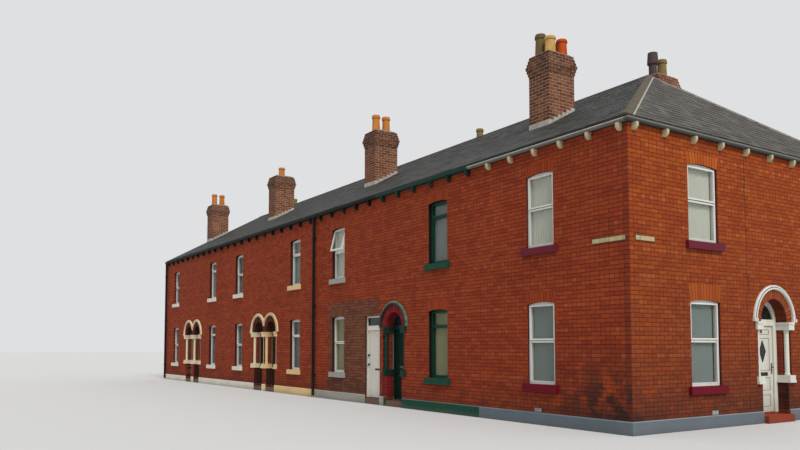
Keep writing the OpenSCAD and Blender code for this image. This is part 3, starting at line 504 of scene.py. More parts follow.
def turned(middle: Triple, radius: float, length: float, way: Triple, edge: float) -> bpy.types.Object:
    """Models a knob or rod with rounded rims.

    Args:
        middle: its middle.
        radius: its radius.
        length: its length.
        way: the way that it points.
        edge: radius of its rims.

    Returns:
        The rod, with its place in its mesh.
    """
    bpy.ops.object.select_all(action="DESELECT")
    tilt = Vector(way).to_track_quat("Z", "Y").to_euler()
    bpy.ops.mesh.primitive_cylinder_add(vertices=20, radius=radius, depth=length, location=middle, rotation=tilt)
    rod = bpy.context.object
    bpy.ops.object.transform_apply(location=True, rotation=True, scale=True)
    with edited(rod, lambda normal: abs(normal.dot(Vector(way))) > 0.9):
        bpy.ops.mesh.bevel(offset=edge, segments=2, affect="EDGES")
    return rod


def rimmed(face: Face, light: tuple[float, ...], size: Triple, back: float,
           sunk: float = 0.004) -> bpy.types.Object:
    """Models one rim round a light, standing out from the frame's face.

    Args:
        face: the wall's face.
        light: the light's near edge, foot, far edge and head, drawn on the wall.
        size: distance that the rim reaches over the frame, its width and how far it stands out.
        back: distance of the frame's face behind the wall's.
        sunk: distance that the rim goes into the frame.

    Returns:
        The rim.
    """
    over, width, rise = size
    bpy.ops.object.select_all(action="DESELECT")
    bpy.ops.mesh.primitive_plane_add(size=1)
    rim = bpy.context.object
    for vertex in rim.data.vertices:
        u = light[2] + over if vertex.co.x > 0 else light[0] - over
        v = light[3] + over if vertex.co.y > 0 else light[1] - over
        vertex.co = face.at(u, v, -back - sunk)
    with edited(rim):
        bpy.ops.mesh.inset(thickness=width, depth=0)
        bpy.ops.mesh.delete(type="FACE")
        bpy.ops.mesh.select_all(action="SELECT")
        bpy.ops.mesh.extrude_region_move(TRANSFORM_OT_translate={"value": Vector(face.out) * (rise + sunk)})
        bpy.ops.mesh.select_all(action="SELECT")
        bpy.ops.mesh.normals_make_consistent(inside=False)
    return rim


class Value:
    """A number or a colour that changes over the surface; sums of it are written as sums."""

    def __init__(self, tree: "Tree", socket: bpy.types.NodeSocket) -> None:
        """Keeps the output socket and the tree that it belongs to."""
        self.tree, self.socket = tree, socket

    def math(self, operation: str, other: object = 0.0, **settings: object) -> "Value":
        """Returns the result of one sum."""
        return self.tree.value("ShaderNodeMath", 0, {0: self, 1: other}, operation=operation, **settings)

    def __add__(self, other: object) -> "Value":
        """Returns the sum of both."""
        return self.math("ADD", other)

    def __sub__(self, other: object) -> "Value":
        """Returns the difference of both."""
        return self.math("SUBTRACT", other)

    def __mul__(self, other: object) -> "Value":
        """Returns the product, where both masks hold."""
        return self.math("MULTIPLY", other)

    def __or__(self, other: object) -> "Value":
        """Returns the larger, where either mask holds."""
        return self.math("MAXIMUM", other)

    def __gt__(self, other: object) -> "Value":
        """Returns a mask of the places above the other."""
        return self.math("GREATER_THAN", other)

    def __lt__(self, other: object) -> "Value":
        """Returns a mask of the places below the other."""
        return self.math("LESS_THAN", other)

    def __abs__(self) -> "Value":
        """Returns the value without its sign."""
        return self.math("ABSOLUTE")

    def __invert__(self) -> "Value":
        """Returns what the mask leaves."""
        return self.tree.value("ShaderNodeMath", 0, {0: 1.0, 1: self}, operation="SUBTRACT")

    def near(self, middle: float, reach: float) -> "Value":
        """Returns a mask of the places that lie within reach of a middle."""
        return abs(self - middle) < reach

    def ramp(self, low: object, high: object, start: float = 0.0, end: float = 1.0) -> "Value":
        """Returns the value taken from the range low to high to the range start to end."""
        return self.tree.value("ShaderNodeMapRange", "Result", {
            "Value": self, "From Min": low, "From Max": high, "To Min": start, "To Max": end})


class Tree:
    """Adds nodes to the tree of one material, world or node group."""

    def __init__(self, tree: bpy.types.NodeTree) -> None:
        """Empties the given tree and works on it."""
        self.tree = tree
        tree.nodes.clear()

    def add(self, kind: str, sockets: dict | None = None, **settings: object) -> bpy.types.Node:
        """Adds one node.

        Args:
            kind: the node's type.
            sockets: a number, a colour or a value for each input, by name or number.
            settings: the node's own properties.

        Returns:
            The new node.
        """
        made = self.tree.nodes.new(kind)
        for key, setting in settings.items():
            setattr(made, key, setting)
        for key, given in (sockets or {}).items():
            if isinstance(given, Value):
                self.tree.links.new(given.socket, made.inputs[key])
            else:
                colour = made.inputs[key].type == "RGBA"
                made.inputs[key].default_value = (*given, 1.0) if colour else given
        return made

    def value(self, kind: str, out: int | str, sockets: dict | None = None, **settings: object) -> Value:
        """Adds one node and returns one of its outputs, by name or number."""
        return Value(self, self.add(kind, sockets, **settings).outputs[out])

    def group(self, group: bpy.types.NodeTree, sockets: dict) -> list[Value]:
        """Places a node group with its own values and returns its outputs."""
        return [Value(self, s) for s in self.add("ShaderNodeGroup", sockets, node_tree=group).outputs]

    def axes(self, place: Value | None = None) -> list[Value]:
        """Returns the three parts of a vector, or the object coordinates."""
        split = self.add("ShaderNodeSeparateXYZ", {0: place or self.value("ShaderNodeTexCoord", "Object")})
        return [Value(self, socket) for socket in split.outputs]

    def noise(self, scale: object, detail: float, stretch: Triple = (1, 1, 1)) -> Value:
        """Returns noise from 0 to 1 at so many lumps for each metre."""
        place = self.value("ShaderNodeTexCoord", "Object")
        mapped = self.value("ShaderNodeMapping", 0, {"Vector": place, "Scale": stretch})
        return self.value("ShaderNodeTexNoise", "Fac", {"Vector": mapped, "Scale": scale, "Detail": detail})

    def mix(self, share: object, first: object, second: object) -> Value:
        """Returns two colours mixed, by the numbers of the colour mixing node's sockets."""
        return self.value("ShaderNodeMix", 2, {0: share, 6: first, 7: second}, data_type="RGBA")


def new_group(name: str, ins: tuple[str, ...], outs: tuple[str, ...]) -> tuple[Tree, list[Value]]:
    """Starts a shader node group.

    Args:
        name: the group's name.
        ins: the names of its inputs.
        outs: the names of its outputs.

    Returns:
        The tree and its inputs as values.
    """
    group = bpy.data.node_groups.new(name, "ShaderNodeTree")
    for direction, labels in (("INPUT", ins), ("OUTPUT", outs)):
        for label in labels:
            kind = "NodeSocketColor" if label in ("Color", "Dirt") else "NodeSocketFloat"
            group.interface.new_socket(label, in_out=direction, socket_type=kind)
    tree = Tree(group)
    return tree, [Value(tree, socket) for socket in tree.add("NodeGroupInput").outputs if socket.name]


def mottle_group() -> bpy.types.NodeTree:
    """Returns the group that lightens and darkens a colour in soft patches of two sizes."""
    tree, (colour, scale, amount) = new_group("soft patches", ("Color", "Scale", "Amount"), ("Color",))
    both = tree.noise(scale, 2.0) * 0.65 + tree.noise(scale * 9.0, 3.0) * 0.35
    swing = (both - 0.5) * (amount * 4.0) + 1.0
    tree.add("NodeGroupOutput", {0: tree.value("ShaderNodeHueSaturation", 0, {"Color": colour, "Value": swing})})
    return tree.tree


def weather_group() -> bpy.types.NodeTree:
    """Returns the group that adds splashed dirt near the ground and streaks of rain below ledges."""
    tree, (colour, dirt, splash, height, streaks) = new_group(
        "rain and splash", ("Color", "Dirt", "Splash", "Height", "Streaks"), ("Color",))
    reach = height * tree.noise(1.3, 4.0).ramp(0.3, 0.7, 0.5, 1.5)
    low = tree.axes()[2].ramp(0.0, reach, 1.0, 0.0)
    runs = tree.noise(1.0, 4.0, (9.0, 9.0, 0.55)).ramp(0.52, 0.72)
    mask = (low * splash).math("ADD", runs * streaks, use_clamp=True)
    tree.add("NodeGroupOutput", {0: tree.mix(mask, colour, dirt)})
    return tree.tree


def grain_group() -> bpy.types.NodeTree:
    """Returns the group that gives a surface its grain, as a height and as a change of roughness."""
    tree, (scale, roughness) = new_group("surface grain", ("Scale", "Roughness"), ("Height", "Roughness"))
    coarse = tree.noise(scale, 5.0)
    tree.add("NodeGroupOutput", {0: coarse * 0.7 + tree.noise(scale * 5.0, 2.0) * 0.3,
                                 1: roughness + coarse.ramp(0.3, 0.7, -0.08, 0.08)})
    return tree.tree


MOTTLE, WEATHER, GRAIN = mottle_group(), weather_group(), grain_group()

MORTAR = paint(52, 33, 25)
MAROON, FADED_MAROON, RED = paint(100, 4, 26), paint(98, 30, 46), paint(122, 28, 32)
GREEN, DARK_GREEN = paint(10, 66, 48), paint(8, 44, 35)
GREY, CREAM, WHITE = paint(150, 148, 140), paint(214, 184, 134), paint(212, 208, 194)
PALE_CREAM, DOOR_BROWN, BLUE_GREY = paint(218, 202, 168), paint(56, 34, 27), paint(92, 103, 112)
PALE_BRACKET, BRACKET_BLACK = paint(184, 172, 140), paint(16, 16, 17)

SECOND_HOUSE, THIRD_HOUSE = ROW.x(ROW.corner), ROW.x(ROW.corner + ROW.house)
GREEN_DOORWAY = 7.6
FIRST_STACK = 9.0
REAR_HALF = 4.0
UPPER_HALF = 3.0


@dataclass(frozen=True)
class Finish:
    """A painted, sawn or cast finish: its colour, its patches, its dirt and its grain."""
    name: str
    colour: Colour = (0.5, 0.5, 0.5)
    roughness: float = 0.6
    patch: float = 2.0
    patches: float = 0.1
    dirt: Colour = paint(70, 62, 50)
    splash: float = 0.0
    splash_height: float = 0.5
    streaks: float = 0.0
    grain: float = 60.0
    depth: float = 0.001
    metallic: float = 0.0
    shine: float = 0.5

    def base(self, tree: Tree) -> Colour | Value:
        """Returns the colour before patches and dirt."""
        return self.colour

    def surface(self, tree: Tree, patched: Value, rough: Value) -> dict[str, object]:
        """Returns what the shader takes from the finish.

        Args:
            tree: the material's tree.
            patched: the colour with its patches.
            rough: the roughness with its grain.

        Returns:
            A value or a number for each of the shader's sockets.
        """
        worn, = tree.group(WEATHER, {"Color": patched, "Dirt": self.dirt, "Splash": self.splash,
                                     "Height": self.splash_height, "Streaks": self.streaks})
        return {"Base Color": worn, "Roughness": rough, "Metallic": self.metallic}

    def material(self) -> bpy.types.Material:
        """Returns the finish as a material, made the first time that it is asked for."""
        known = bpy.data.materials.get(self.name)
        if known:
            return known
        made = bpy.data.materials.new(self.name)
        made.use_nodes = True
        tree = Tree(made.node_tree)
        patched, = tree.group(MOTTLE, {"Color": self.base(tree), "Scale": self.patch, "Amount": self.patches})
        height, rough = tree.group(GRAIN, {"Scale": self.grain, "Roughness": self.roughness})
        bump = tree.value("ShaderNodeBump", "Normal", {"Height": height, "Distance": self.depth})
        shader = tree.value("ShaderNodeBsdfPrincipled", "BSDF", {
            **self.surface(tree, patched, rough), "Specular IOR Level": self.shine, "Normal": bump})
        tree.add("ShaderNodeOutputMaterial", {"Surface": shader})
        return made


@dataclass(frozen=True)
class FiredFinish(Finish):
    """A finish whose colour is each brick's or slate's own tone."""

    def base(self, tree: Tree) -> Value:
        """Returns the tone that the piece carries for each of its faces."""
        return tree.value("ShaderNodeAttribute", "Color", attribute_name="fired")


@dataclass(frozen=True)
class BrickFinish(FiredFinish):
    """Fired brick with soot at the foot of the corner, a crack in the end wall, painted shade low on the end
    wall, in the deep reveals and in the end doorway, and paint in the other reveals.
    """
    soot: Colour = paint(44, 33, 30)
    shade: Colour = paint(92, 42, 30)
    corner_reveal: Colour = paint(58, 20, 40)
    # dark green paint of the green house's reveals, darkened further as painted shade of the deep recess
    green_reveal_paint_and_shade: Colour = paint(13, 21, 19)
    # painted shade: the far houses' deep reveals and doorways are darkened for the shade in their recesses
    far_reveal_shade: Colour = paint(58, 30, 25)
    door_shade: Colour = paint(40, 16, 22)
    crack_y: float = ROW.y(3.66)
    pier_x: float = 6.065

    def sooty(self, tree: Tree) -> Value:
        """Adds the soot of the corner and the shade low on the end wall.

        Args:
            tree: the material's tree.

        Returns:
            The bricks' own tones under the soot.
        """
        x, y, z = tree.axes()
        end = x > ROW.x(-0.001)
        fired = tree.mix(end * z.ramp(5.0, 0.4, 0.0, 0.52), super().base(tree), self.shade)
        lumps = tree.noise(3.0, 6.0).ramp(0.38, 0.54, 0.0, 0.92)
        damp = x.ramp(ROW.x(2.7), ROW.x(0.7)) * z.ramp(1.7, 0.6) * lumps * ~(end * 0.65)
        arris = (x > ROW.x(0.13)) * (x < ROW.x(-0.0035)) * z.ramp(3.0, 1.0, 0.16, 0.5)
        corner = ROW.x(0) - 2.5 * ROW.y(0)
        by = (x - y * 2.5).ramp(corner - 3.6, corner - 0.6)
        foot = z.ramp(0.54, 0.3, 0.0, 0.85) * by * tree.noise(3.4, 4.0).ramp(0.35, 0.55, 0.4, 1.0)
        return tree.mix(foot | damp | arris, fired, self.soot)

    def base(self, tree: Tree) -> Value:
        """Adds the crack, painted shade in the far houses' reveals and in the end doorway's, dark green paint
        with painted shade in the green house's reveals, and the paint of the other reveals and of the red pier's
        foot.

        Args:
            tree: the material's tree.

        Returns:
            The colour before patches and dirt.
        """
        x, y, z = tree.axes()
        wander = tree.noise(3.0, 3.0).ramp(0.3, 0.7, -0.05, 0.05)
        crack = (y + wander).near(self.crack_y, 0.008) * (x > ROW.x(0.02))
        bricks = tree.mix(crack * 0.9, self.sooty(tree), self.soot)
        # painted shade in the far houses' reveals, dark green paint and painted shade in the green house's, red
        # paint in its doorway, and the corner house's own paint
        street = tree.mix(x > THIRD_HOUSE, self.far_reveal_shade, RED)
        street = tree.mix(x > GREEN_DOORWAY, street, self.green_reveal_paint_and_shade)
        street = tree.mix(x > SECOND_HOUSE, street, self.corner_reveal)
        behind = y.near(ROW.y(0.257), 0.242) * (x < ROW.x(0.5))
        bricks = tree.mix(behind, bricks, street)
        side = abs(y).near(ROW.y(ROW.end_windows[1]), ROW.end_window_w / 2 + 0.005) * x.near(ROW.x(0.115), 0.1)
        bricks = tree.mix(side, bricks, self.corner_reveal)
        # painted shade in the end doorway's reveal
        door = y.near(ROW.y(ROW.end_door_y), ROW.end_door_w / 2 + 0.02) * x.near(ROW.x(0.13), 0.125)
        bricks = tree.mix(door * 0.6, bricks, self.door_shade)
        pier = x.near(self.pier_x, 0.08) * (z < ROW.base) * (y < ROW.y(0.1))
        return tree.mix(pier, bricks, RED)


@dataclass(frozen=True)
class WallFinish(Finish):
    """The wall behind the bricks: mortar outside, brick in the reveals and plaster inside."""
    plaster: Colour = paint(196, 188, 170)
    brick: Colour = paint(136, 62, 38)
    other_brick: Colour = paint(112, 50, 36)
    skin: tuple[float, float] = (ROW.length / 2 - 0.0075, ROW.depth / 2 - 0.005)
    outer: tuple[float, float] = (ROW.length / 2 - 0.2525, ROW.depth / 2 - 0.24)

    def base(self, tree: Tree) -> Value:
        """Chooses mortar, brick or plaster by the place on the wall.

        Args:
            tree: the material's tree.

        Returns:
            The colour before patches and dirt.
        """
        x, y, z = tree.axes()
        skin = (abs(x) > self.skin[0]) | (abs(y) > self.skin[1])
        outer = (x > self.outer[0]) | (abs(y) > self.outer[1])
        laid = tree.value("ShaderNodeCombineXYZ", 0, {"X": x + y, "Y": z})
        bond = tree.value("ShaderNodeTexBrick", "Color", {
            "Vector": laid, "Color1": self.brick, "Color2": self.other_brick, "Mortar": self.colour,
            "Scale": 1.0, "Mortar Size": 0.005, "Brick Width": 0.235, "Row Height": ROW.course})
        return tree.mix(skin, tree.mix(outer, self.plaster, bond), self.colour)


@dataclass(frozen=True)
class HousePaint(Finish):
    """Paint that changes from house to house along the street front, with its own colour at each end."""
    houses: tuple[Colour, ...] = ()
    side: Colour | None = None
    side_from: float = ROW.x(0.34)
    rear: Colour | None = None
    past: float = 0.5

    def base(self, tree: Tree) -> Value:
        """Chooses the colour of the house that the place belongs to.

        Args:
            tree: the material's tree.

        Returns:
            The colour before patches and dirt.
        """
        x, y, _ = tree.axes()
        share = x.ramp(ROW.x(ROW.length) - self.past, ROW.x(0) + self.past)
        ramp = tree.add("ShaderNodeValToRGB", {"Fac": share})
        ramp.color_ramp.interpolation = "CONSTANT"
        elements = ramp.color_ramp.elements
        while len(elements) < len(self.houses):
            elements.new(0.5)
        far_ends = [ROW.corner + i * ROW.house for i in range(len(self.houses) - 1)] + [ROW.length + self.past]
        for element, end in zip(elements, reversed(far_ends)):
            element.position = max(0.0, (ROW.length - end + self.past) / (ROW.length + 2 * self.past))
        for element, colour in zip(elements, reversed(self.houses)):
            element.color = (*colour, 1.0)
        colour = Value(tree, ramp.outputs["Color"])
        if self.side:
            colour = tree.mix(x > self.side_from, colour, self.side)
        if self.rear:
            colour = tree.mix(y > REAR_HALF, colour, self.rear)
        return colour


@dataclass(frozen=True)
class SillPaint(HousePaint):
    """Sill paint: the corner house's upper sills have faded."""

    def base(self, tree: Tree) -> Value:
        """Returns the colour of the house, faded on the corner house's upper storey."""
        x, y, z = tree.axes()
        faded = (x > SECOND_HOUSE) * (z > UPPER_HALF) * (y < REAR_HALF)
        return tree.mix(faded, super().base(tree), FADED_MAROON)


@dataclass(frozen=True)
class EdgedPaint(HousePaint):
    """Paint of a gutter or a plinth, with a painted highlight along the top."""
    lip: Colour = paint(186, 185, 178)
    side_highlight: Colour = paint(128, 128, 124)
    highlight_z: float = ROW.eaves + 0.046
    highlight_from: float = ROW.x(ROW.length) - 1.0

    def base(self, tree: Tree) -> Value:
        """Returns the paint's colour with its painted highlight along the top."""
        x, _, z = tree.axes()
        # painted highlight: a paler band along the top edge, with its own colour on the end wall
        lip = tree.mix(x > self.side_from, self.lip, self.side_highlight)
        return tree.mix((z > self.highlight_z) * (x > self.highlight_from) * 0.8, super().base(tree), lip)


@dataclass(frozen=True)
class SurroundPaint(HousePaint):
    """Paint of the doorway surrounds: the green hood's outer roll is paler in patches, and a painted shadow runs
    between the rolls of every hood.
    """
    pale: Colour = paint(96, 134, 112)
    groove_shadow: Colour = paint(74, 72, 66)

    def over(self, across: Value, up: Value, width: float) -> Value:
        """Returns how far a place lies over the ring of bricks of a doorway that is so wide."""
        return (across * across + up * up).math("SQRT") - (width / 2 + ROW.ring)

    def base(self, tree: Tree) -> Value:
        """Adds the pale roll of the green hood and the painted shadow between the rolls of every hood.

        Args:
            tree: the material's tree.

        Returns:
            The colour before patches and dirt.
        """
        x, y, z = tree.axes()
        up = z - ROW.spring
        from_pair = (x - ROW.x(ROW.pairs[0])).math("PINGPONG", ROW.house)
        street = self.over(from_pair - ROW.door_off, up, ROW.door_w)
        end = self.over(y - ROW.y(ROW.end_door_y), up, ROW.end_door_w)
        side = x > ROW.x(0.3)
        arch = z > ROW.spring
        roll = arch * x.near(ROW.x(ROW.pairs[0] - ROW.door_off), 0.8) * (street > 0.062)
        # the green hood's outer roll is made paler in noisy patches
        worn = roll * tree.noise(7.0, 3.0).ramp(0.35, 0.6, 0.35, 1.0)
        over = end * side + street * ~side
        # painted shadow along the groove between a hood's two rolls
        line = abs(over - ROW.hood / 2).ramp(0.012, 0.004, 0.0, 0.85)
        return tree.mix(arch * line, tree.mix(worn, super().base(tree), self.pale), self.groove_shadow)


@dataclass(frozen=True)
class HipFinish(Finish):
    """Mortar torching over the hips, with a pale lead edge on the hipped side."""
    edge: Colour = paint(164, 160, 148)
    edge_from: float = 0.132

    def base(self, tree: Tree) -> Value:
        """Returns the torching's colour and the pale edge's, by distance from the hip line."""
        x, y, _ = tree.axes()
        over = ROW.roof_over * ROW.pitch() / ROW.hip_pitch()
        slope = (ROW.hip_run + over) / (ROW.depth / 2 + ROW.roof_over)
        return tree.mix(x - abs(y) * slope > ROW.x(ROW.hip_run) + self.edge_from, self.colour, self.edge)


@dataclass(frozen=True)
class PotFinish(Finish):
    """Fired pots: each of the first stack's pots has its own clay, the others are orange buff."""
    tall: Colour = paint(104, 86, 54)
    buff: Colour = paint(190, 150, 88)
    red: Colour = paint(180, 72, 20)
    olive: Colour = paint(122, 106, 60)

    def base(self, tree: Tree) -> Value:
        """Returns the clay of the pot that the place belongs to."""
        x, y, _ = tree.axes()
        right, behind = x > SECOND_HOUSE, y > ROW.y(ROW.stack_y + ROW.stack_d / 2)
        pots = tree.mix(right * behind, tree.mix(right, self.tall, self.buff), self.red)
        return tree.mix(y > 0.0, tree.mix(x > FIRST_STACK, self.colour, pots), self.olive)


@dataclass(frozen=True)
class SootyShadedBrick(FiredFinish):
    """Stack bricks blackened by soot towards the head, with painted shade on the faces turned towards the street.
    """
    # this colour paints both the soot at the heads and the painted shade of the street faces
    soot: Colour = paint(50, 38, 35)

    def base(self, tree: Tree) -> Value:
        """Returns the bricks' own tones under the soot and the painted shade."""
        _, y, z = tree.axes()
        high = z.ramp(7.9, 8.9, 0.0, 0.6) * (y < 0.0)
        # painted shade on the faces turned towards the street
        shaded_side = tree.axes(tree.value("ShaderNodeNewGeometry", "Normal"))[1].ramp(-1.0, 0.0, 0.36, 0.0)
        share = (high + shaded_side) * tree.noise(2.2, 4.0).ramp(0.35, 0.65, 0.5, 1.0)
        return tree.mix(share, super().base(tree), self.soot)


@dataclass(frozen=True)
class StackCore(Finish):
    """Pale mortar of the stacks, and the walls' dark mortar where a stack stands below the slates."""

    def base(self, tree: Tree) -> Value:
        """Returns the mortar's colour, by the height over the slopes."""
        _, y, z = tree.axes()
        return tree.mix(z + abs(y) * ROW.pitch() < ROW.ridge - 0.06, self.colour, MORTAR)


@dataclass(frozen=True)
class NetFinish(Finish):
    """Net cloth: its threads follow the cloth's own map."""

    def base(self, tree: Tree) -> Value:
        """Returns the cloth's colour with its woven bands."""
        weave = tree.value("ShaderNodeTexWave", "Fac", {
            "Vector": tree.value("ShaderNodeUVMap", 0), "Scale": 34.0, "Distortion": 1.2, "Detail": 2.0},
            bands_direction="X")
        return tree.mix(weave.ramp(0.2, 0.8, 0.0, 0.6), self.colour, tuple(part * 0.8 for part in self.colour))


@dataclass(frozen=True)
class GlassFinish(Finish):
    """Window glass over a dim room: a thin tinted pane with a clear reflection."""
    grain: float = 4.0
    alpha: float = 1.0

    def surface(self, tree: Tree, patched: Value, rough: Value) -> dict[str, object]:
        """Returns the pane's colour, its plain roughness and how far it hides the room."""
        return {"Base Color": patched, "Roughness": self.roughness, "Alpha": self.alpha}


class Cloth(Enum):
    """The cloths that the nets are cut from."""
    PALE = NetFinish("pale net", paint(242, 244, 226), 0.9, 9.0, 0.05, grain=240, depth=0.0006, shine=0.1)
    GREY = NetFinish("grey net", paint(146, 160, 154), 0.9, 9.0, 0.05, grain=240, depth=0.0006, shine=0.1)
    OLIVE = NetFinish("olive curtain", paint(172, 166, 112), 0.9, 9.0, 0.06, grain=240, depth=0.0006, shine=0.1)
    DIM = NetFinish("dim net", paint(112, 118, 116), 0.9, 9.0, 0.06, grain=240, depth=0.0006, shine=0.1)


class Finishes:
    """The finishes of the row."""
    BRICK = BrickFinish("fired brick", roughness=0.86, patch=0.7, dirt=paint(52, 36, 30), splash=0.6,
                        splash_height=0.75, streaks=0.12, grain=90, depth=0.0012, shine=0.15)
    STACK = SootyShadedBrick("sooty brick", roughness=0.9, patch=1.6, patches=0.14, dirt=paint(40, 32, 30),
                       streaks=0.3, grain=90, depth=0.0014, shine=0.15)
    WALL = WallFinish("mortar and plaster", MORTAR, 0.95, 1.2, 0.14, paint(44, 32, 28), 0.4, 0.9, 0.1, 120,
                      shine=0.15)
    STACK_CORE = StackCore("pale stack mortar", paint(176, 150, 122), 0.95, 1.5, 0.16, paint(70, 58, 50),
                           streaks=0.3, grain=110, depth=0.0015, shine=0.15)
    SLATE = FiredFinish("riven slate", roughness=0.66, patch=0.8, patches=0.14, dirt=paint(104, 102, 92),
                        streaks=0.3, grain=40, depth=0.0016, shine=0.25)
    UNDERSLATE = Finish("roof boards", paint(52, 50, 48), 0.9, 1.5, grain=30)
    SILLS = SillPaint("sill paint", roughness=0.55, patches=0.07, dirt=paint(74, 50, 46), streaks=0.14, grain=45,
                      shine=0.12, rear=paint(132, 120, 104),
                      houses=(MAROON, GREEN, GREY, CREAM, WHITE, WHITE, WHITE))
    # the plinths' painted highlight runs along their top edge and is brighter on the end wall, which faces the
    # sun
    PLINTHS = EdgedPaint("plinth paint", roughness=0.7, dirt=paint(88, 84, 76), splash=0.5, splash_height=0.14,
                         streaks=0.1, grain=55, depth=0.002, shine=0.2, side=paint(96, 105, 112),
                         lip=paint(124, 132, 130), side_highlight=paint(150, 154, 152), highlight_z=ROW.plinth - 0.012,
                         highlight_from=THIRD_HOUSE, houses=(BLUE_GREY, GREEN, GREY, CREAM, WHITE, WHITE, WHITE))
    SURROUNDS = SurroundPaint("surround paint", patches=0.07, dirt=paint(120, 116, 96), streaks=0.16, grain=50,
                              depth=0.0014, shine=0.2, side=paint(206, 206, 196),
                              houses=(WHITE, DARK_GREEN, DARK_GREEN, CREAM, *(PALE_CREAM,) * 3))
    FRAMES = Finish("white frame", paint(214, 213, 206), 0.4, 2.0, 0.05, paint(150, 146, 132), streaks=0.2,
                    grain=30, depth=0.0004, shine=0.3)
    GREEN_FRAMES = Finish("dark green frame", paint(18, 62, 48), 0.5, 3.0, 0.1, paint(50, 70, 58), streaks=0.12,
                          grain=30, depth=0.0006, shine=0.15)
    # painted shadow: the dark strip under an upper sash's rail
    SASH_GAP = Finish("shadowed sash gap", paint(50, 50, 44), 0.9, 3.0, 0.05, grain=30, depth=0.0004, shine=0.1)
    DOORS = HousePaint("street door paint", roughness=0.45, patches=0.07, dirt=paint(110, 100, 86), splash=0.35,
                       splash_height=0.45, streaks=0.12, grain=28, depth=0.0006, shine=0.2,
                       houses=(WHITE, WHITE, WHITE, paint(60, 38, 28), paint(56, 32, 28), paint(96, 66, 50),
                               paint(48, 56, 74)))
    WHITE_DOOR = Finish("white door paint", paint(204, 201, 190), 0.42, 2.5, 0.05, paint(120, 112, 98), 0.4, 0.5,
                        0.12, 28, 0.0005)
    GREEN_DOOR = Finish("green door paint", paint(6, 36, 30), 0.5, 2.5, 0.1, paint(44, 54, 46), 0.3, 0.4, 0.06,
                        28, 0.0006, shine=0.15)
    JAMBS = HousePaint("door frame paint", roughness=0.45, patches=0.07, dirt=paint(110, 104, 92), splash=0.3,
                       splash_height=0.4, streaks=0.15, grain=28, depth=0.0005, shine=0.2,
                       houses=(WHITE, DARK_GREEN, WHITE, *(DOOR_BROWN,) * 4))
    STEPS = HousePaint("stone step", roughness=0.85, patch=3.0, patches=0.12, dirt=paint(80, 64, 54), splash=0.4,
                       splash_height=0.1, depth=0.002, shine=0.15, side=paint(134, 56, 36),
                       houses=(paint(108, 84, 70),) * 7)
    FLOOR = Finish("stone floor", paint(122, 112, 98), 0.9, 2.0, 0.12, grain=40, depth=0.002)
    BOARDS = Finish("floor boards", paint(150, 112, 74), 0.6, 3.0, 0.14, grain=18)
    LEAD = Finish("weathered lead", paint(170, 168, 158), 0.65, 3.0, 0.22, paint(96, 92, 86), streaks=0.5,
                  grain=30, depth=0.002, metallic=0.1)
    HIP = HipFinish("hip torching", paint(88, 79, 66), 0.85, 3.0, 0.16, paint(82, 74, 64), streaks=0.4, grain=40,
                    depth=0.003, shine=0.2)
    RIDGE = Finish("ridge tile", paint(66, 60, 56), 0.8, 2.0, 0.16, paint(104, 98, 84), streaks=0.25, grain=30,
                   depth=0.002, shine=0.2)
    PALE_GUTTER = EdgedPaint("weathered gutter paint", patch=1.4, patches=0.12, dirt=paint(78, 74, 68),
                             streaks=0.4, grain=30, shine=0.3, side=paint(70, 70, 68), side_from=ROW.x(-0.012),
                             houses=(paint(104, 102, 97),) * 7)
    GREEN_GUTTER = Finish("green gutter paint", paint(12, 50, 40), 0.55, dirt=paint(60, 76, 64), streaks=0.2,
                          grain=30, shine=0.15)
    BLACK = Finish("black iron paint", paint(16, 16, 18), dirt=paint(60, 54, 48), splash=0.15, streaks=0.14,
                   grain=30, shine=0.12)
    BRACKETS = HousePaint("bracket paint", roughness=0.8, patch=2.4, patches=0.12, dirt=paint(120, 106, 80),
                          streaks=0.3, grain=50, depth=0.002, shine=0.2, side=PALE_BRACKET,
                          houses=(PALE_BRACKET, DARK_GREEN, *(BRACKET_BLACK,) * 5))
    POTS = PotFinish("fired pot clay", paint(188, 118, 52), 0.8, 5.0, 0.16, paint(62, 46, 36), streaks=0.4,
                     grain=40, depth=0.0015, shine=0.2)
    COWL = Finish("sooted cowl", paint(74, 60, 60), 0.75, 6.0, 0.2, paint(30, 28, 30), streaks=0.5, grain=40,
                  depth=0.0015, shine=0.2)
    GLASS = GlassFinish("window glass", paint(70, 80, 76), 0.05, 1.5, 0.12, depth=0.0005, alpha=0.2, shine=1.0)
    # painted shade: the fanlights and the corner door's light are near-opaque dark panes that stand for the dim
    # halls behind them
    FANLIGHT = GlassFinish("dark fanlight glass", paint(34, 40, 42), 0.05, depth=0.0005, alpha=0.85, shine=0.4)
    DIAMOND = GlassFinish("dark door light", paint(20, 22, 27), 0.08, depth=0.0005, shine=0.25)
    # painted shadow along the edges of the corner door's panels
    PANEL_LINE = Finish("shaded panel edge", paint(112, 108, 98), 0.7, 6.0, grain=30, depth=0.0004, shine=0.15)
    IRON = Finish("black door furniture", paint(26, 26, 27), 0.35, 8.0, depth=0.0003, metallic=0.2)
    BRASS = Finish("dull brass", paint(120, 100, 62), 0.4, 8.0, depth=0.0003, metallic=0.7)
    PLATE = Finish("enamel plate", paint(176, 162, 124), 0.6, 14.0, 0.16, paint(84, 66, 46), streaks=0.6,
                   depth=0.0004, shine=0.2)
    PLATE_RIM = Finish("rusted plate rim", paint(74, 58, 46), 0.7, 6.0, 0.16, depth=0.0006)
    CEMENT = Finish("cement flaunching", paint(122, 112, 98), 0.95, 6.0, 0.14, grain=50, depth=0.003)


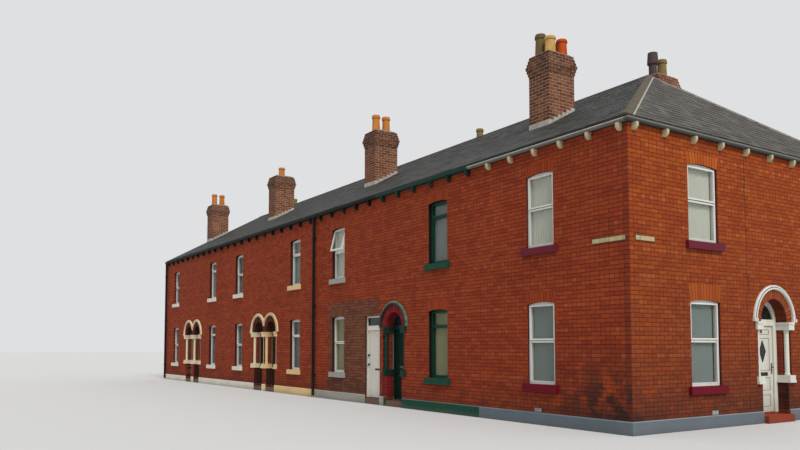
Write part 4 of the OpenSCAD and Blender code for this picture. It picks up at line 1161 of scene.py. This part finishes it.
class CadDress:
    """Gives each CAD node that shows its finish."""
    BY_NODE = {
        Finishes.WALL: "party_walls end_party_wall front_wall_ground front_door_piers front_door_arches "
                       "front_wall_upper end_wall_ground end_door_arch end_wall_upper rear_wall_ground "
                       "rear_wall_upper",
        Finishes.STACK_CORE: "front_stacks rear_stacks",
        Finishes.UNDERSLATE: "front_roof_slope rear_roof_slope hipped_roof_end",
        Finishes.RIDGE: "ridge_tiles", Finishes.FLOOR: "ground_floor", Finishes.BOARDS: "upper_floor",
        Finishes.STEPS: "door_steps", Finishes.PLINTHS: "plinths", Finishes.SILLS: "window_sills",
        Finishes.FRAMES: "white_window_frames", Finishes.GREEN_FRAMES: "green_window_frames",
        Finishes.GLASS: "ground_window_glass upper_window_glass", Finishes.FANLIGHT: "fanlight_glass",
        Finishes.SURROUNDS: "hood_moulds impost_blocks base_blocks nook_shafts",
        Finishes.WHITE_DOOR: "corner_door white_door", Finishes.GREEN_DOOR: "green_door",
        Finishes.DOORS: "fixed_doors", Finishes.JAMBS: "door_jambs door_heads",
        Finishes.LEAD: "stack_flashings", Finishes.HIP: "hip_flashings",
        Finishes.PALE_GUTTER: "pale_gutters", Finishes.GREEN_GUTTER: "green_gutter",
        Finishes.BLACK: "black_gutters downpipes", Finishes.BRACKETS: "gutter_brackets",
        Finishes.POTS: "chimney_pots", Finishes.COWL: "cowled_pot"}

    def dress(self) -> None:
        """Assigns every node's finish and checks that none is left out."""
        left = set(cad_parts)
        for finish, nodes in self.BY_NODE.items():
            for node in nodes.split():
                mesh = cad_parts[node].data
                mesh.materials.clear()
                mesh.materials.append(finish.material())
                left.remove(node)
        if left:
            raise ValueError(f"nodes without a finish: {sorted(left)}")
        log.info("dressed %d nodes of the frame", len(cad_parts))


@dataclass(frozen=True)
class Wall:
    """A wall of the row: its windows, the kinds of its bricks by how they are laid, and its storeys' seeds."""
    name: str
    face: Face
    length: float
    seeds: tuple[int, int]
    bricks: tuple[BrickKind, BrickKind, BrickKind]
    windows: tuple[float, ...] = ROW.windows
    width: float = ROW.window_w
    near: float = ROW.corner
    on_end: Point = (0.21, 0.21)
    first: int = 0
    shift: int = 0
    ends: float = 0.004


@dataclass
class Brickwork:
    """Bricks of every wall, laid in courses and cut round the openings."""
    stretcher: float = 0.235
    joint: float = 0.01
    stand: float = 0.004
    skin: float = 0.012
    splay: float = 0.05
    gauged_w: float = 0.088
    gauged_gap: float = 0.006
    ring_gap: float = 0.007
    edge: float = 0.003
    least: float = 0.012
    header_every: int = 6
    storey: int = 37
    last: int = 70
    refaced: Point = (8.6, 11.6)
    refaced_top: float = 2.93
    walls: tuple[Wall, ...] = (
        Wall("street", STREET, ROW.length, (11, 12),
             (BrickKind.STREET, BrickKind.HEADER, BrickKind.GAUGED), first=3),
        Wall("side", SIDE, ROW.depth, (21, 22),
             (BrickKind.CORNER, BrickKind.CORNER_HEADER, BrickKind.CORNER_GAUGED), ROW.end_windows,
             ROW.end_window_w, ROW.depth, (0.32, 0.21), first=3, shift=1, ends=-0.012),
        Wall("rear", REAR, ROW.length, (68, 68), (BrickKind.REAR,) * 3))
    party: Wall = Wall("party_end", PARTY, ROW.depth, (41, 41), (BrickKind.REAR,) * 3, shift=1, ends=-0.012)

    def build(self) -> None:
        """Lays the walls storey by storey, and the plain party end up to the slopes of the roof."""
        for wall in self.walls:
            for storey, (sill, height) in zip(Storey, ROW.storeys):
                batch = Batch(f"{wall.name}_bricks_{storey.tail()}", wall.seeds[storey])
                holes = self.window_holes(wall, sill, height, wall.on_end[storey])
                if storey is Storey.GROUND:
                    holes += self.doorways(wall, batch)
                courses = range(self.storey, self.last) if storey else range(wall.first, self.storey)
                self.lay(batch, wall, courses, holes, [(0, 1, ROW.eaves - 0.002)])
                self.lay_on_end(batch, wall, sill + height, wall.on_end[storey])
                batch.build(Finishes.BRICK, "brick")
        pitch = ROW.pitch()
        batch = Batch(f"{self.party.name}_bricks", self.party.seeds[0])
        self.lay(batch, self.party, range(int((ROW.ridge - 0.17) / ROW.course) + 1), [],
                 [(-pitch, 1, ROW.eaves), (pitch, 1, ROW.eaves + pitch * ROW.depth)])
        batch.build(Finishes.BRICK, "brick")

    def tone(self, batch: Batch, wall: Wall, along: float, height: float, laid: Laid) -> Colour:
        """Returns the tone of a brick at a place of a wall, where part of the street front is refaced."""
        refaced = wall.face is STREET and self.refaced[0] < along < self.refaced[1] and height < self.refaced_top
        kind = BrickKind.REFACED if refaced else wall.bricks[laid]
        return batch.tone(kind.value, 0.07 if laid is Laid.ON_END else 0.05)

    def lay(self, batch: Batch, wall: Wall, courses: Iterable[int], holes: list[Hole], sky: list[Triple]) -> None:
        """Lays courses of bricks on a wall.

        Args:
            batch: the batch that takes the bricks.
            wall: the wall.
            courses: numbers of the courses, counted up from the pavement.
            holes: what is cut out of them.
            sky: half planes that the bricks stay within.
        """
        half_joint = self.joint / 2
        for course in courses:
            laid = Laid.HEADER if course % self.header_every == self.header_every - 1 else Laid.STRETCHER
            pitch = self.stretcher / 2 if laid is Laid.HEADER else self.stretcher
            low, high = course * ROW.course + half_joint, (course + 1) * ROW.course - half_joint
            start = -pitch / 2 if laid is Laid.STRETCHER and (course + wall.shift) % 2 else 0.0
            for i in range(int((wall.length - start) / pitch) + 1):
                left = start + i * pitch + half_joint if i else -wall.ends
                right = min(start + (i + 1) * pitch - half_joint, wall.length + wall.ends)
                if right - left < self.least:
                    continue
                tone = self.tone(batch, wall, (left + right) / 2, low, laid)
                parts, reveal = cut_round(box(left, low, right, high), sky, holes)
                for part in parts:
                    batch.add(wall.face.lay(part, self.stand), tone, max(self.skin, reveal + self.stand))

    def window_holes(self, wall: Wall, sill: float, height: float, above: float) -> list[Hole]:
        """Returns the holes of a storey's windows: bricks on end, sills and openings.

        Args:
            wall: the wall that they are in.
            sill: height of their feet.
            height: height from the foot to the crown of the head.
            above: height of the bricks on end over the crown.

        Returns:
            Three holes for each window.
        """
        holes = []
        top, spring, half = sill + height + above, sill + height - ROW.head_rise, wall.width / 2
        for middle in wall.windows:
            long = middle < ROW.corner + ROW.house or wall.near > ROW.corner
            end = half + (ROW.sill_ends if long else ROW.short_sill_ends)
            holes += [Hole([(middle - half, spring), (middle + half, spring),
                            (middle + half + self.splay, top), (middle - half - self.splay, top)]),
                      Hole(box(middle - end, sill - ROW.sill_h, middle + end, sill)),
                      Hole(box(middle - half + self.edge, sill, middle + half - self.edge, spring),
                           self.reveal(wall, middle) - 0.001)]
        return holes

    def reveal(self, wall: Wall, middle: float) -> float:
        """Returns the depth of a window's reveal."""
        return ROW.corner_reveal if middle < wall.near else ROW.reveal

    def lay_on_end(self, batch: Batch, wall: Wall, crown: float, above: float) -> None:
        """Lays the gauged bricks on end over a storey's windows.

        Args:
            batch: the batch that takes the bricks.
            wall: the wall.
            crown: height of the windows' heads.
            above: height of the bricks over it.
        """
        count, half, gap = round((wall.width + self.splay) / self.gauged_w), wall.width / 2, self.gauged_gap
        low, high = crown - ROW.head_rise, crown + above - 0.004
        for middle in wall.windows:
            opening = Hole(cambered(middle, wall.width, crown, 0.002))
            for i in range(count):
                edges = [2 * (i + j) / count - 1 for j in (0, 1)]
                feet, heads = ([middle + reach * edge for edge in edges] for reach in (half, half + self.splay))
                brick = [(feet[0] + gap, low), (feet[1] - gap, low),
                         (heads[1] - gap, high), (heads[0] + gap, high)]
                tone = self.tone(batch, wall, middle, crown, Laid.ON_END)
                for part in cut_round(brick, holes=[opening])[0]:
                    batch.add(wall.face.lay(part, self.stand), tone, self.reveal(wall, middle) + 0.003)

    def arch(self, batch: Batch, face: Face, middle: float, width: float, kind: BrickKind,
             limits: Iterable[Triple] = ()) -> None:
        """Lays the ring of bricks over a round doorway.

        Args:
            batch: the batch that takes the bricks.
            face: the wall's face.
            middle: distance of the doorway's middle along the wall.
            width: width of the opening.
            kind: the kind of its bricks.
            limits: half planes that the ring stays within.
        """
        inner, outer = width / 2 - self.edge, width / 2 + ROW.ring
        centre = inner + ROW.ring / 2
        count, gap = round(math.pi * centre / ROW.course), self.ring_gap / centre
        for i in range(count):
            a, b = math.pi * i / count + gap, math.pi * (i + 1) / count - gap
            brick = [(middle + r * math.cos(t), ROW.spring + r * math.sin(t))
                     for r, t in ((inner, a), (outer, a), (outer, b), (inner, b))]
            for part in cut_round(brick, limits)[0]:
                batch.add(face.lay(part, self.stand), batch.tone(kind.value, 0.08),
                          ROW.door_reveal + self.stand - 0.001)

    def door_holes(self, middle: float, width: float, before: float, after: float) -> list[Hole]:
        """Returns the holes of a round doorway: its hood, blocks, nooks and opening.

        Args:
            middle: distance of the doorway's middle along the wall.
            width: width of the opening.
            before: width of the blocks before it.
            after: width of the blocks after it.

        Returns:
            The holes, the opening last.
        """
        half = width / 2
        holes = [Hole(disc_head(middle, ROW.spring, half + ROW.ring + ROW.hood / 2))]
        for way, block in ((-1, before), (1, after)):
            inside = middle + way * (half - 2 * self.edge)
            for size, low, high in ((block, ROW.base, ROW.base + ROW.base_h), (block, ROW.impost, ROW.spring),
                                    (ROW.nook, ROW.base, ROW.spring)):
                ends = sorted((inside, middle + way * (half + size)))
                holes.append(Hole(box(ends[0], low, ends[1], high)))
        return holes + [Hole(box(middle - half + self.edge, 0, middle + half - self.edge, ROW.spring),
                             ROW.door_reveal - 0.001)]

    def doorways(self, wall: Wall, batch: Batch) -> list[Hole]:
        """Lays the rings of a wall's doorways.

        Args:
            wall: the wall.
            batch: the batch that takes the rings.

        Returns:
            The holes of its doorways.
        """
        if wall.face is SIDE:
            self.arch(batch, SIDE, ROW.end_door_y, ROW.end_door_w, BrickKind.CORNER_RING)
            return self.door_holes(ROW.end_door_y, ROW.end_door_w, ROW.block_w, ROW.block_w)
        if wall.face is REAR:
            return []
        first, *others = ROW.pairs
        half, plain = ROW.door_w / 2 - self.edge, first + ROW.door_off
        holes = self.door_holes(first - ROW.door_off, ROW.door_w, ROW.block_w, 0.1)
        holes.append(Hole(box(plain - half, 0, plain + half, ROW.flat_head - self.edge),
                          ROW.plain_door_set - 0.001))
        self.arch(batch, STREET, first - ROW.door_off, ROW.door_w, BrickKind.PAINTED)
        for pair in others:
            holes += self.door_holes(pair - ROW.door_off, ROW.door_w, ROW.block_w, 0.15)
            holes += self.door_holes(pair + ROW.door_off, ROW.door_w, 0.15, ROW.block_w)
            for way in (-1, 1):
                self.arch(batch, STREET, pair + way * ROW.door_off, ROW.door_w, BrickKind.SHADED_RING,
                          [(-way, 0, -way * pair - 0.004)])
        return holes


@dataclass
class Stacks:
    """Bricks of the chimney stacks, with the courses that step out at their heads."""
    half: float = 0.1175
    stand: float = 0.004
    skin: float = 0.012
    steps: tuple[float, ...] = (0, 1 / 3, 2 / 3, 1, 2 / 3, 1 / 3)
    joint: float = 0.015
    least: float = 0.02
    closer: float = 0.04

    def faces(self, middle: float, back: float, out: float) -> list[tuple[Face, float]]:
        """Returns the four faces of a stack with their lengths.

        Args:
            middle: distance of the stack's middle along the row.
            back: distance of its street face behind the street front.
            out: distance that the course stands out.

        Returns:
            The faces, anticlockwise from the street side.
        """
        x0, x1 = ROW.x(middle + ROW.stack_w / 2) - out, ROW.x(middle - ROW.stack_w / 2) + out
        y0, y1 = ROW.y(back) - out, ROW.y(back + ROW.stack_d) + out
        starts = ((x0, y0, 1, 0), (x1, y0, 0, 1), (x1, y1, -1, 0), (x0, y1, 0, -1))
        return [(Face((x, y, 0), (u, v, 0), (v, -u, 0)), x1 - x0 if u else y1 - y0) for x, y, u, v in starts]

    def build(self) -> None:
        """Lays the bricks of the front stacks and of the rear stacks."""
        for name, back, top, seed in (("front_stack_bricks", ROW.stack_y, ROW.stack_top, 51),
                                      ("rear_stack_bricks", ROW.rear_stack_y, ROW.rear_stack_top, 52)):
            batch = Batch(name, seed)
            foot = ROW.roof_top + ROW.pitch() * min(back, ROW.depth - back - ROW.stack_d)
            for middle in ROW.stacks():
                for j in range(int((top - foot) / ROW.course) + 1):
                    out = self.steps[j] * ROW.head_out if j < len(self.steps) else 0
                    for number, (face, length) in enumerate(self.faces(middle, back, out)):
                        self.course(batch, face, length, top - j * ROW.course, (j + number) % 2, number % 2)
            batch.build(Finishes.STACK, "stack_brick")

    def course(self, batch: Batch, face: Face, length: float, high: float, shift: int, inner: int) -> None:
        """Lays one course of a stack's face.

        Args:
            batch: the batch that takes the bricks.
            face: the stack's face.
            length: its length.
            high: height of the course's top.
            shift: 1 where the course starts with a header.
            inner: 1 where the course stops short of the arrises.
        """
        joint = self.joint / 2
        past = -self.skin if inner else self.stand
        left, edge = -past, self.half if shift else 2 * self.half
        while left < length - self.least:
            right = min(edge - joint, length + past)
            if length - right < self.closer:
                right = length + past
            brick = box(left, high - ROW.course + joint, right, high - joint)
            batch.add(face.lay(brick, self.stand), batch.tone(BrickKind.STACK.value, 0.1), self.skin)
            left, edge = right + self.joint, edge + 2 * self.half


@dataclass
class Slating:
    """Slates of the long slopes and of the hipped end, laid in courses with their tails lifted."""
    gauge: float = 0.196
    width: float = 0.255
    tail: float = 0.010
    head: float = 0.003
    thickness: float = 0.006
    gap: float = 0.0025
    lap: float = 0.02
    clear: float = 0.01
    under_ridge: float = 0.03
    grey: Tones = ((58, 59, 58), (64, 64, 62), (52, 53, 53), (72, 71, 67), (60, 60, 61))
    brown: Tones = ((74, 71, 65), (80, 76, 68), (66, 64, 60), (88, 84, 75), (71, 66, 62))

    def lay(self, batch: Batch, face: Face, span: Point, length: float, limits: list[Triple],
            holes: list[Hole]) -> None:
        """Lays slates on a slope and makes them into one piece.

        Args:
            batch: the batch that takes the slates.
            face: the slope, drawn from the wall's outer face upwards.
            span: where the courses start and end.
            length: the slope's length above the wall's outer face.
            limits: half planes that the slates stay within.
            holes: what is cut out of them.
        """
        tones, spread = (self.grey, 0.1) if holes else (self.brown, 0.14)
        start = -ROW.roof_over / math.hypot(*face.rise[:2])
        for row in range(int((length - start) / self.gauge) + 1):
            low = start + row * self.gauge
            high = min(low + self.gauge + self.lap, length)
            first = span[0] - (self.width / 2 if row % 2 else 0)
            for i in range(int((span[1] - first) / self.width) + 1):
                slip = batch.chance.uniform(-0.005, 0.005)
                left, right = first + i * self.width, first + (i + 1) * self.width
                slate = box(left + self.gap / 2, low + slip, right - self.gap / 2, high)
                parts, _ = cut_round(slate, limits, holes, 1e-4)
                tone = batch.tone(tones, spread)
                lift = self.tail + batch.chance.uniform(-0.003, 0.003)
                for part in parts:
                    batch.add(face.lay(part, lambda v: lift - (lift - self.head) * (v - low) / self.gauge), tone,
                              self.thickness)
        batch.build(Finishes.SLATE, "slate")

    def build(self) -> None:
        """Slates the street slope, the rear slope and the hipped end."""
        slant, hip = math.atan(ROW.pitch()), math.atan(ROW.hip_pitch())
        lean = ROW.hip_run / (ROW.depth / 2)
        half = ROW.stack_w / 2 + self.clear
        for name, way, back, seed in (("street_slates", 1, ROW.stack_y, 61),
                                      ("rear_slates", -1, ROW.depth - ROW.rear_stack_y - ROW.stack_d, 62)):
            face = Face((ROW.x(0), way * ROW.y(0), ROW.roof_top), (-1, 0, 0),
                        (0, -way * math.sin(slant), math.cos(slant)), (0, way * math.cos(slant), math.sin(slant)))
            low, high = ((back + past) / math.cos(slant) for past in (-self.clear, ROW.stack_d + self.clear))
            self.lay(Batch(name, seed), face, (-ROW.roof_over, ROW.length),
                     ROW.depth / 2 / math.cos(slant) - self.under_ridge,
                     [(-1, lean * math.cos(slant), -self.clear), (1, 0, ROW.length)],
                     [Hole(box(middle - half, low, middle + half, high)) for middle in ROW.stacks()])
        face = Face((ROW.x(0), ROW.y(0), ROW.roof_top), (0, 1, 0), (math.sin(hip), 0, math.cos(hip)),
                    (-math.cos(hip), 0, math.sin(hip)))
        cover = math.cos(hip) / lean
        self.lay(Batch("hip_slates", 63), face, (-ROW.roof_over, ROW.depth + ROW.roof_over),
                 ROW.hip_run / math.cos(hip) - self.under_ridge,
                 [(-1, cover, -self.clear), (1, cover, ROW.depth - self.clear)], [])


@dataclass
class Sashes:
    """Rims of the sashes and lights: the upper stands in front of the lower, with a dark strip of painted shadow
    below its rail.
    """
    upper: Triple = (0.028, 0.032, 0.020)
    lower: Triple = (0.018, 0.022, 0.006)
    # height of the painted shadow strip under an upper rail
    gap: float = 0.009
    sash_bar: float = 0.4
    open_light: tuple[int, Storey] = (2, Storey.UPPER)

    def strip(self, face: Face, light: tuple[float, ...], back: float) -> bpy.types.Object:
        """Models the dark strip of painted shadow under an upper sash's rail.

        Args:
            face: the wall's face.
            light: the upper light's near edge, foot, far edge and head, drawn on the wall.
            back: distance of the frame's face behind the wall's.

        Returns:
            The strip.
        """
        foot = light[1] - self.upper[0]
        ends = zip(face.at(light[0], foot - self.gap, -back - 0.004), face.at(light[2], foot, -back + 0.005))
        low, high = zip(*(sorted(pair) for pair in ends))
        return rounded(low, high, 0.001, 1)

    def build(self) -> None:
        """Models the rims of every window, white and green, and the painted shadow strips."""
        white, green, shadow_strips = [], [], []
        for opening in OPENINGS:
            face, painted, back = opening.face, green if opening.green else white, opening.back
            bar = opening.sill + opening.height * (1 - ROW.bars[opening.house])
            crown = opening.sill + opening.height - ROW.frame_w - ROW.head_rise / 2
            near, far = (opening.middle + way * (opening.width / 2 - ROW.frame_w) for way in (-1, 1))
            foot = (near, opening.sill + ROW.frame_w, far, bar - ROW.bar_h / 2)
            head = (near, bar + ROW.bar_h / 2, far, crown)
            painted.append(rimmed(face, foot, self.lower, back))
            if face is STREET and (opening.number, opening.storey) == self.open_light:
                continue
            painted.append(rimmed(face, head, self.upper, back))
            if ROW.bars[opening.house] > self.sash_bar:
                shadow_strips.append(self.strip(face, head, back))
        settle(white, "white_sash_rims", Finishes.FRAMES)
        settle(green, "green_sash_rims", Finishes.GREEN_FRAMES)
        settle(shadow_strips, "sash_gaps", Finishes.SASH_GAP)


@dataclass
class Nets:
    """Net curtains that hang behind the street windows and the side street windows."""
    wave: float = 0.07
    swing: float = 0.012
    grey_swing: float = 0.0054
    margin: float = 0.03
    hem: float = 0.035
    rail: float = 0.05
    slack: Point = (0.07, 0.03)
    kinds: tuple[tuple[Cloth, Cloth], ...] = (
        (Cloth.GREY, Cloth.PALE), (Cloth.OLIVE, Cloth.GREY), (Cloth.OLIVE, Cloth.PALE), (Cloth.DIM, Cloth.GREY),
        (Cloth.DIM, Cloth.DIM), (Cloth.DIM, Cloth.GREY), (Cloth.DIM, Cloth.DIM))

    def hang(self, opening: Opening) -> None:
        """Hangs one net behind the frame of a window.

        Args:
            opening: the window's opening.
        """
        end, storey = opening.face is SIDE, opening.storey
        name = f"{'end_' if end else ''}net_{opening.number + 1}_{storey.tail()}"
        cloth, slack = self.kinds[opening.house][storey], self.slack[storey]
        frames = "green_window_frames" if opening.green else "white_window_frames"
        low, high = opening.sill + self.hem, opening.sill + opening.height - self.rail
        width = opening.width - 2 * self.margin - slack
        middle = opening.middle + (-slack if end else slack) / 2
        back = opening.back + ROW.frame_d + 0.0005
        bpy.ops.object.select_all(action="DESELECT")
        across = int(width / self.wave) * 8
        bpy.ops.mesh.primitive_grid_add(x_subdivisions=across, y_subdivisions=6, size=1)
        net = bpy.context.object
        chance, swing = random.Random(name), self.grey_swing if cloth is Cloth.GREY else self.swing
        lean = [chance.uniform(0, math.tau) for _ in range(3)]
        for vertex in net.data.vertices:
            u, v = vertex.co.x, vertex.co.y
            phase = math.tau * width * u / self.wave
            phase += 0.8 * math.sin(3 * u + lean[0]) + 0.5 * v * math.sin(5 * u + lean[1])
            depth = swing * (1 + math.sin(phase)) * (0.8 + 0.2 * math.sin(7 * u + lean[2]))
            vertex.co = opening.face.at(middle + width * u, low + (high - low) * (v + 0.5), -back - depth)
        net.name = net.data.name = name
        high - low
        settle([net], name, cloth.value)

    def build(self) -> None:
        """Hangs the nets of every street window and side street window."""
        for opening in OPENINGS:
            if opening.face is not REAR:
                self.hang(opening)


@dataclass
class DoorFurniture:
    """Handles, letter plates and the diamond light of the three doors that open."""
    corner_x: float = ROW.x(0.286)
    corner_y: float = ROW.y(ROW.end_door_y)
    light_z: float = 1.5
    green_y: float = ROW.y(0.286)
    white_y: float = ROW.y(0.096)
    green_x: Point = (6.1955, 6.8895)
    white_x: Point = (5.0955, 5.7895)
    panels: tuple[Point, ...] = ((0.06, 0.2), (0.25, 0.4), (0.48, 0.86), (0.9, 0.96))
    panel_half: float = 0.277
    panel_back: float = 0.294
    leaf: Point = (0.188, 1.859)

    def corner(self) -> None:
        """Fits the corner door's diamond light, painted shadow lines round its panels, letter plate, lever handle
        and knocker.
        """
        x, y, body = self.corner_x, self.corner_y, "corner_door"
        bpy.ops.object.select_all(action="DESELECT")
        bpy.ops.mesh.primitive_cylinder_add(vertices=4, radius=1, depth=0.012, location=(0, 0, 0))
        light = bpy.context.object
        for vertex in light.data.vertices:
            across, up, out = vertex.co
            vertex.co = (x + out - 0.002, y + 0.01 + across * 0.122, self.light_z + up * 0.24)
        with edited(light):
            bpy.ops.mesh.normals_make_consistent(inside=False)
        with edited(light, lambda normal: normal.x > 0.9):
            bpy.ops.mesh.inset(thickness=0.014, depth=-0.004)
        settle([light], "corner_door_light", Finishes.DIAMOND, body)
        # painted shadow: thin dark rims along the edges of the panels
        near, far = ROW.end_door_y - self.panel_half, ROW.end_door_y + self.panel_half
        foot, height = self.leaf
        lines = [rimmed(SIDE, (near, foot + low * height, far, foot + high * height), (-0.001, 0.011, 0.001),
                        self.panel_back) for low, high in self.panels]
        settle(lines, "corner_door_panel_lines", Finishes.PANEL_LINE, body)
        settle([rounded((x - 0.002, y - 0.08, 0.968), (x + 0.006, y + 0.18, 1.046), 0.002),
                rounded((x + 0.005, y - 0.06, 0.984), (x + 0.01, y + 0.16, 1.03), 0.002),
                rounded((x - 0.002, y + 0.318, 1.0), (x + 0.007, y + 0.35, 1.24), 0.002),
                turned((x + 0.03, y + 0.334, 1.15), 0.009, 0.05, (1, 0, 0), 0.002),
                turned((x + 0.05, y + 0.285, 1.15), 0.009, 0.11, (0, 1, 0), 0.003)],
               "corner_door_furniture", Finishes.IRON, body)
        settle([rounded((x - 0.002, y - 0.06, 1.9), (x + 0.012, y, 1.97), 0.003)],
               "corner_door_knocker", Finishes.BRASS, body)

    def street_door(self, body: str, y: float, edges: Point, plate: Point, knobs: list[Point],
                    finish: Finish) -> None:
        """Fits a street door's letter plate and knobs.

        Args:
            body: the body of the leaf, whose name the piece's name starts with.
            y: the leaf's outer face.
            edges: the leaf's edges along the row.
            plate: where the letter plate's middle lies, as a share of the leaf's width, and its foot's height.
            knobs: distance of each knob from the leaf's low edge, and its height.
            finish: the finish of them all.
        """
        middle, foot = edges[0] + (edges[1] - edges[0]) * plate[0], plate[1]
        parts = [rounded((middle - 0.12, y - 0.006, foot), (middle + 0.12, y + 0.002, foot + 0.055), 0.002),
                 rounded((middle - 0.1, y - 0.01, foot + 0.012), (middle + 0.1, y - 0.004, foot + 0.043), 0.002)]
        for along, height in knobs:
            for out, radius, length, edge in ((0.002, 0.026, 0.008, 0.002), (0.02, 0.01, 0.04, 0.002),
                                              (0.042, 0.028, 0.03, 0.009)):
                parts.append(turned((edges[0] + along, y - out, height), radius, length, (0, -1, 0), edge))
        settle(parts, f"{body}_furniture", finish, body)

    def build(self) -> None:
        """Fits every opening door's furniture."""
        self.corner()
        self.street_door("green_door", self.green_y, self.green_x, (0.5, 1.02), [(0.62, 1.2)], Finishes.BRASS)
        self.street_door("white_door", self.white_y, self.white_x, (0.68, 0.94), [(0.055, 1.36), (0.055, 1.1)],
                         Finishes.IRON)


@dataclass
class Fittings:
    """Blank name plates, vent covers and the cement on top of the stacks."""
    plate_z: Point = (3.545, 3.655)
    plate_rim: float = 0.014
    plate_rise: float = 0.003
    vent_z: Point = (0.262, 0.34)
    bed_in: float = 0.012

    def plate(self, name: str, low: Triple, high: Triple, out: Triple) -> None:
        """Fixes one blank name plate in its rusted rim.

        Args:
            name: the plate's name.
            low: its lowest corner.
            high: its highest corner.
            out: the way that it faces.
        """
        settle([rounded(low, high, 0.004)], name + "_rim", Finishes.PLATE_RIM)
        rim, rise = [0.0 if part else self.plate_rim for part in out], self.plate_rise
        inner = rounded([a + e + rise * min(o, 0) for a, e, o in zip(low, rim, out)],
                        [b - e + rise * max(o, 0) for b, e, o in zip(high, rim, out)], 0.002)
        settle([inner], name, Finishes.PLATE)

    def flaunching(self, middle: float, back: float, top: float) -> bpy.types.Object:
        """Models the sloped cement round one stack's pots.

        Args:
            middle: distance of the stack's middle along the row.
            back: distance of its street face behind the street front.
            top: height of its top.

        Returns:
            The cement.
        """
        half, edge = ROW.stack_w / 2, self.bed_in
        bed = rounded((ROW.x(middle + half) + edge, ROW.y(back) + edge, top - 0.004),
                      (ROW.x(middle - half) - edge, ROW.y(back + ROW.stack_d) - edge, top + 0.012), 0.004)
        with edited(bed, lambda normal: normal.z > 0.99):
            bpy.ops.mesh.extrude_region_move(TRANSFORM_OT_translate={"value": (0, 0, 0.05)})
            bpy.ops.transform.resize(value=(0.8, 0.8, 1))
        return bed

    def build(self) -> None:
        """Fixes the plates, the vents and the cement."""
        x, y, (low, high), (foot, top) = ROW.x(0), ROW.y(0), self.plate_z, self.vent_z
        self.plate("street_name_plate", (x - 0.88, y - 0.016, low), (x - 0.07, y + 0.01, high), (0, -1, 0))
        self.plate("side_name_plate", (x - 0.01, y + 0.15, low), (x + 0.016, y + 0.7, high), (1, 0, 0))
        settle([rounded((ROW.x(2.5), y - 0.012, foot), (ROW.x(2.3), y + 0.01, top), 0.003),
                rounded((x - 0.01, ROW.y(2.35), foot), (x + 0.012, ROW.y(2.55), top), 0.003)],
               "vent_covers", Finishes.PLINTHS)
        settle([self.flaunching(middle, back, height) for middle in ROW.stacks()
                for back, height in ((ROW.stack_y, ROW.stack_top), (ROW.rear_stack_y, ROW.rear_stack_top))],
               "stack_flaunching", Finishes.CEMENT)


@dataclass
class Studio:
    """The camera at the photograph's place, the pale floor and the soft light."""
    eye: Triple = (23.4495, -15.944, 1.6)
    yaw: float = 56.6
    tilt: float = 3.45
    lens: float = 33.79
    shift: float = 0.0955
    sun: Triple = (0.69, -0.19, 0.70)
    sun_power: float = 2.2
    sun_angle: float = 25.0
    sky: float = 0.62
    backdrop: Colour = (0.74, 0.745, 0.755)
    floor_colour: Colour = (0.62, 0.62, 0.61)

    def camera(self) -> None:
        """Puts the camera at the eye and makes it the scene's own."""
        bpy.ops.object.select_all(action="DESELECT")
        bpy.ops.object.camera_add(location=self.eye, rotation=(
            math.radians(90 + self.tilt), 0, math.radians(self.yaw)))
        camera = bpy.context.object
        camera.data.lens = self.lens
        camera.data.sensor_width = 36.0
        camera.data.shift_y = self.shift
        camera.data.clip_end = 500.0
        bpy.context.scene.camera = camera

    def light(self) -> None:
        """Lights the row from an even sky and a soft sun towards the side street."""
        bpy.ops.object.light_add(type="SUN", rotation=Vector(self.sun).to_track_quat("Z", "Y").to_euler())
        lamp = bpy.context.object.data
        lamp.energy, lamp.angle = self.sun_power, math.radians(self.sun_angle)
        world = bpy.data.worlds.new("studio")
        bpy.context.scene.world = world
        world.use_nodes = True
        tree = Tree(world.node_tree)
        path = tree.add("ShaderNodeLightPath").outputs
        camera, glossy, through = (Value(tree, path[f"Is {kind} Ray"])
                                   for kind in ("Camera", "Glossy", "Transmission"))
        soft = tree.value("ShaderNodeBackground", 0, {"Color": (1, 1, 1), "Strength": self.sky})
        shown = tree.value("ShaderNodeBackground", 0, {"Color": self.backdrop, "Strength": 1.0})
        both = tree.value("ShaderNodeMixShader", 0, {0: camera | glossy | through, 1: soft, 2: shown})
        tree.add("ShaderNodeOutputWorld", {"Surface": both})

    def floor(self) -> None:
        """Lays the pale floor."""
        bpy.ops.object.select_all(action="DESELECT")
        bpy.ops.mesh.primitive_circle_add(vertices=96, radius=220, fill_type="NGON", location=(0, 0, -0.002))
        floor = bpy.context.object
        floor.name = "floor"
        finish = Finish("pale floor", self.floor_colour, 0.95, 0.3, 0.0, grain=8, depth=0.0)
        floor.data.materials.append(finish.material())
        floor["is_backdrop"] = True

    def build(self) -> None:
        """Sets the view transform and builds the studio."""
        bpy.context.scene.view_settings.view_transform = "Standard"
        self.camera()
        self.light()
        self.floor()
        log.info("studio built")


def corners(bounds: object) -> list[list[float]]:
    """Returns a box's two corners as plain lists."""
    return [[float(value) for value in corner] for corner in bounds]


def main() -> None:
    """Builds the scene in order."""
    cad = corners(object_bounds())
    Studio().build()
    CadDress().dress()
    for part in (Brickwork(), Stacks(), Slating(), Sashes(), Nets(), DoorFurniture(), Fittings()):
        part.build()
    {"cad": cad, "visual": corners(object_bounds())}


if __name__ == "__main__":
    main()
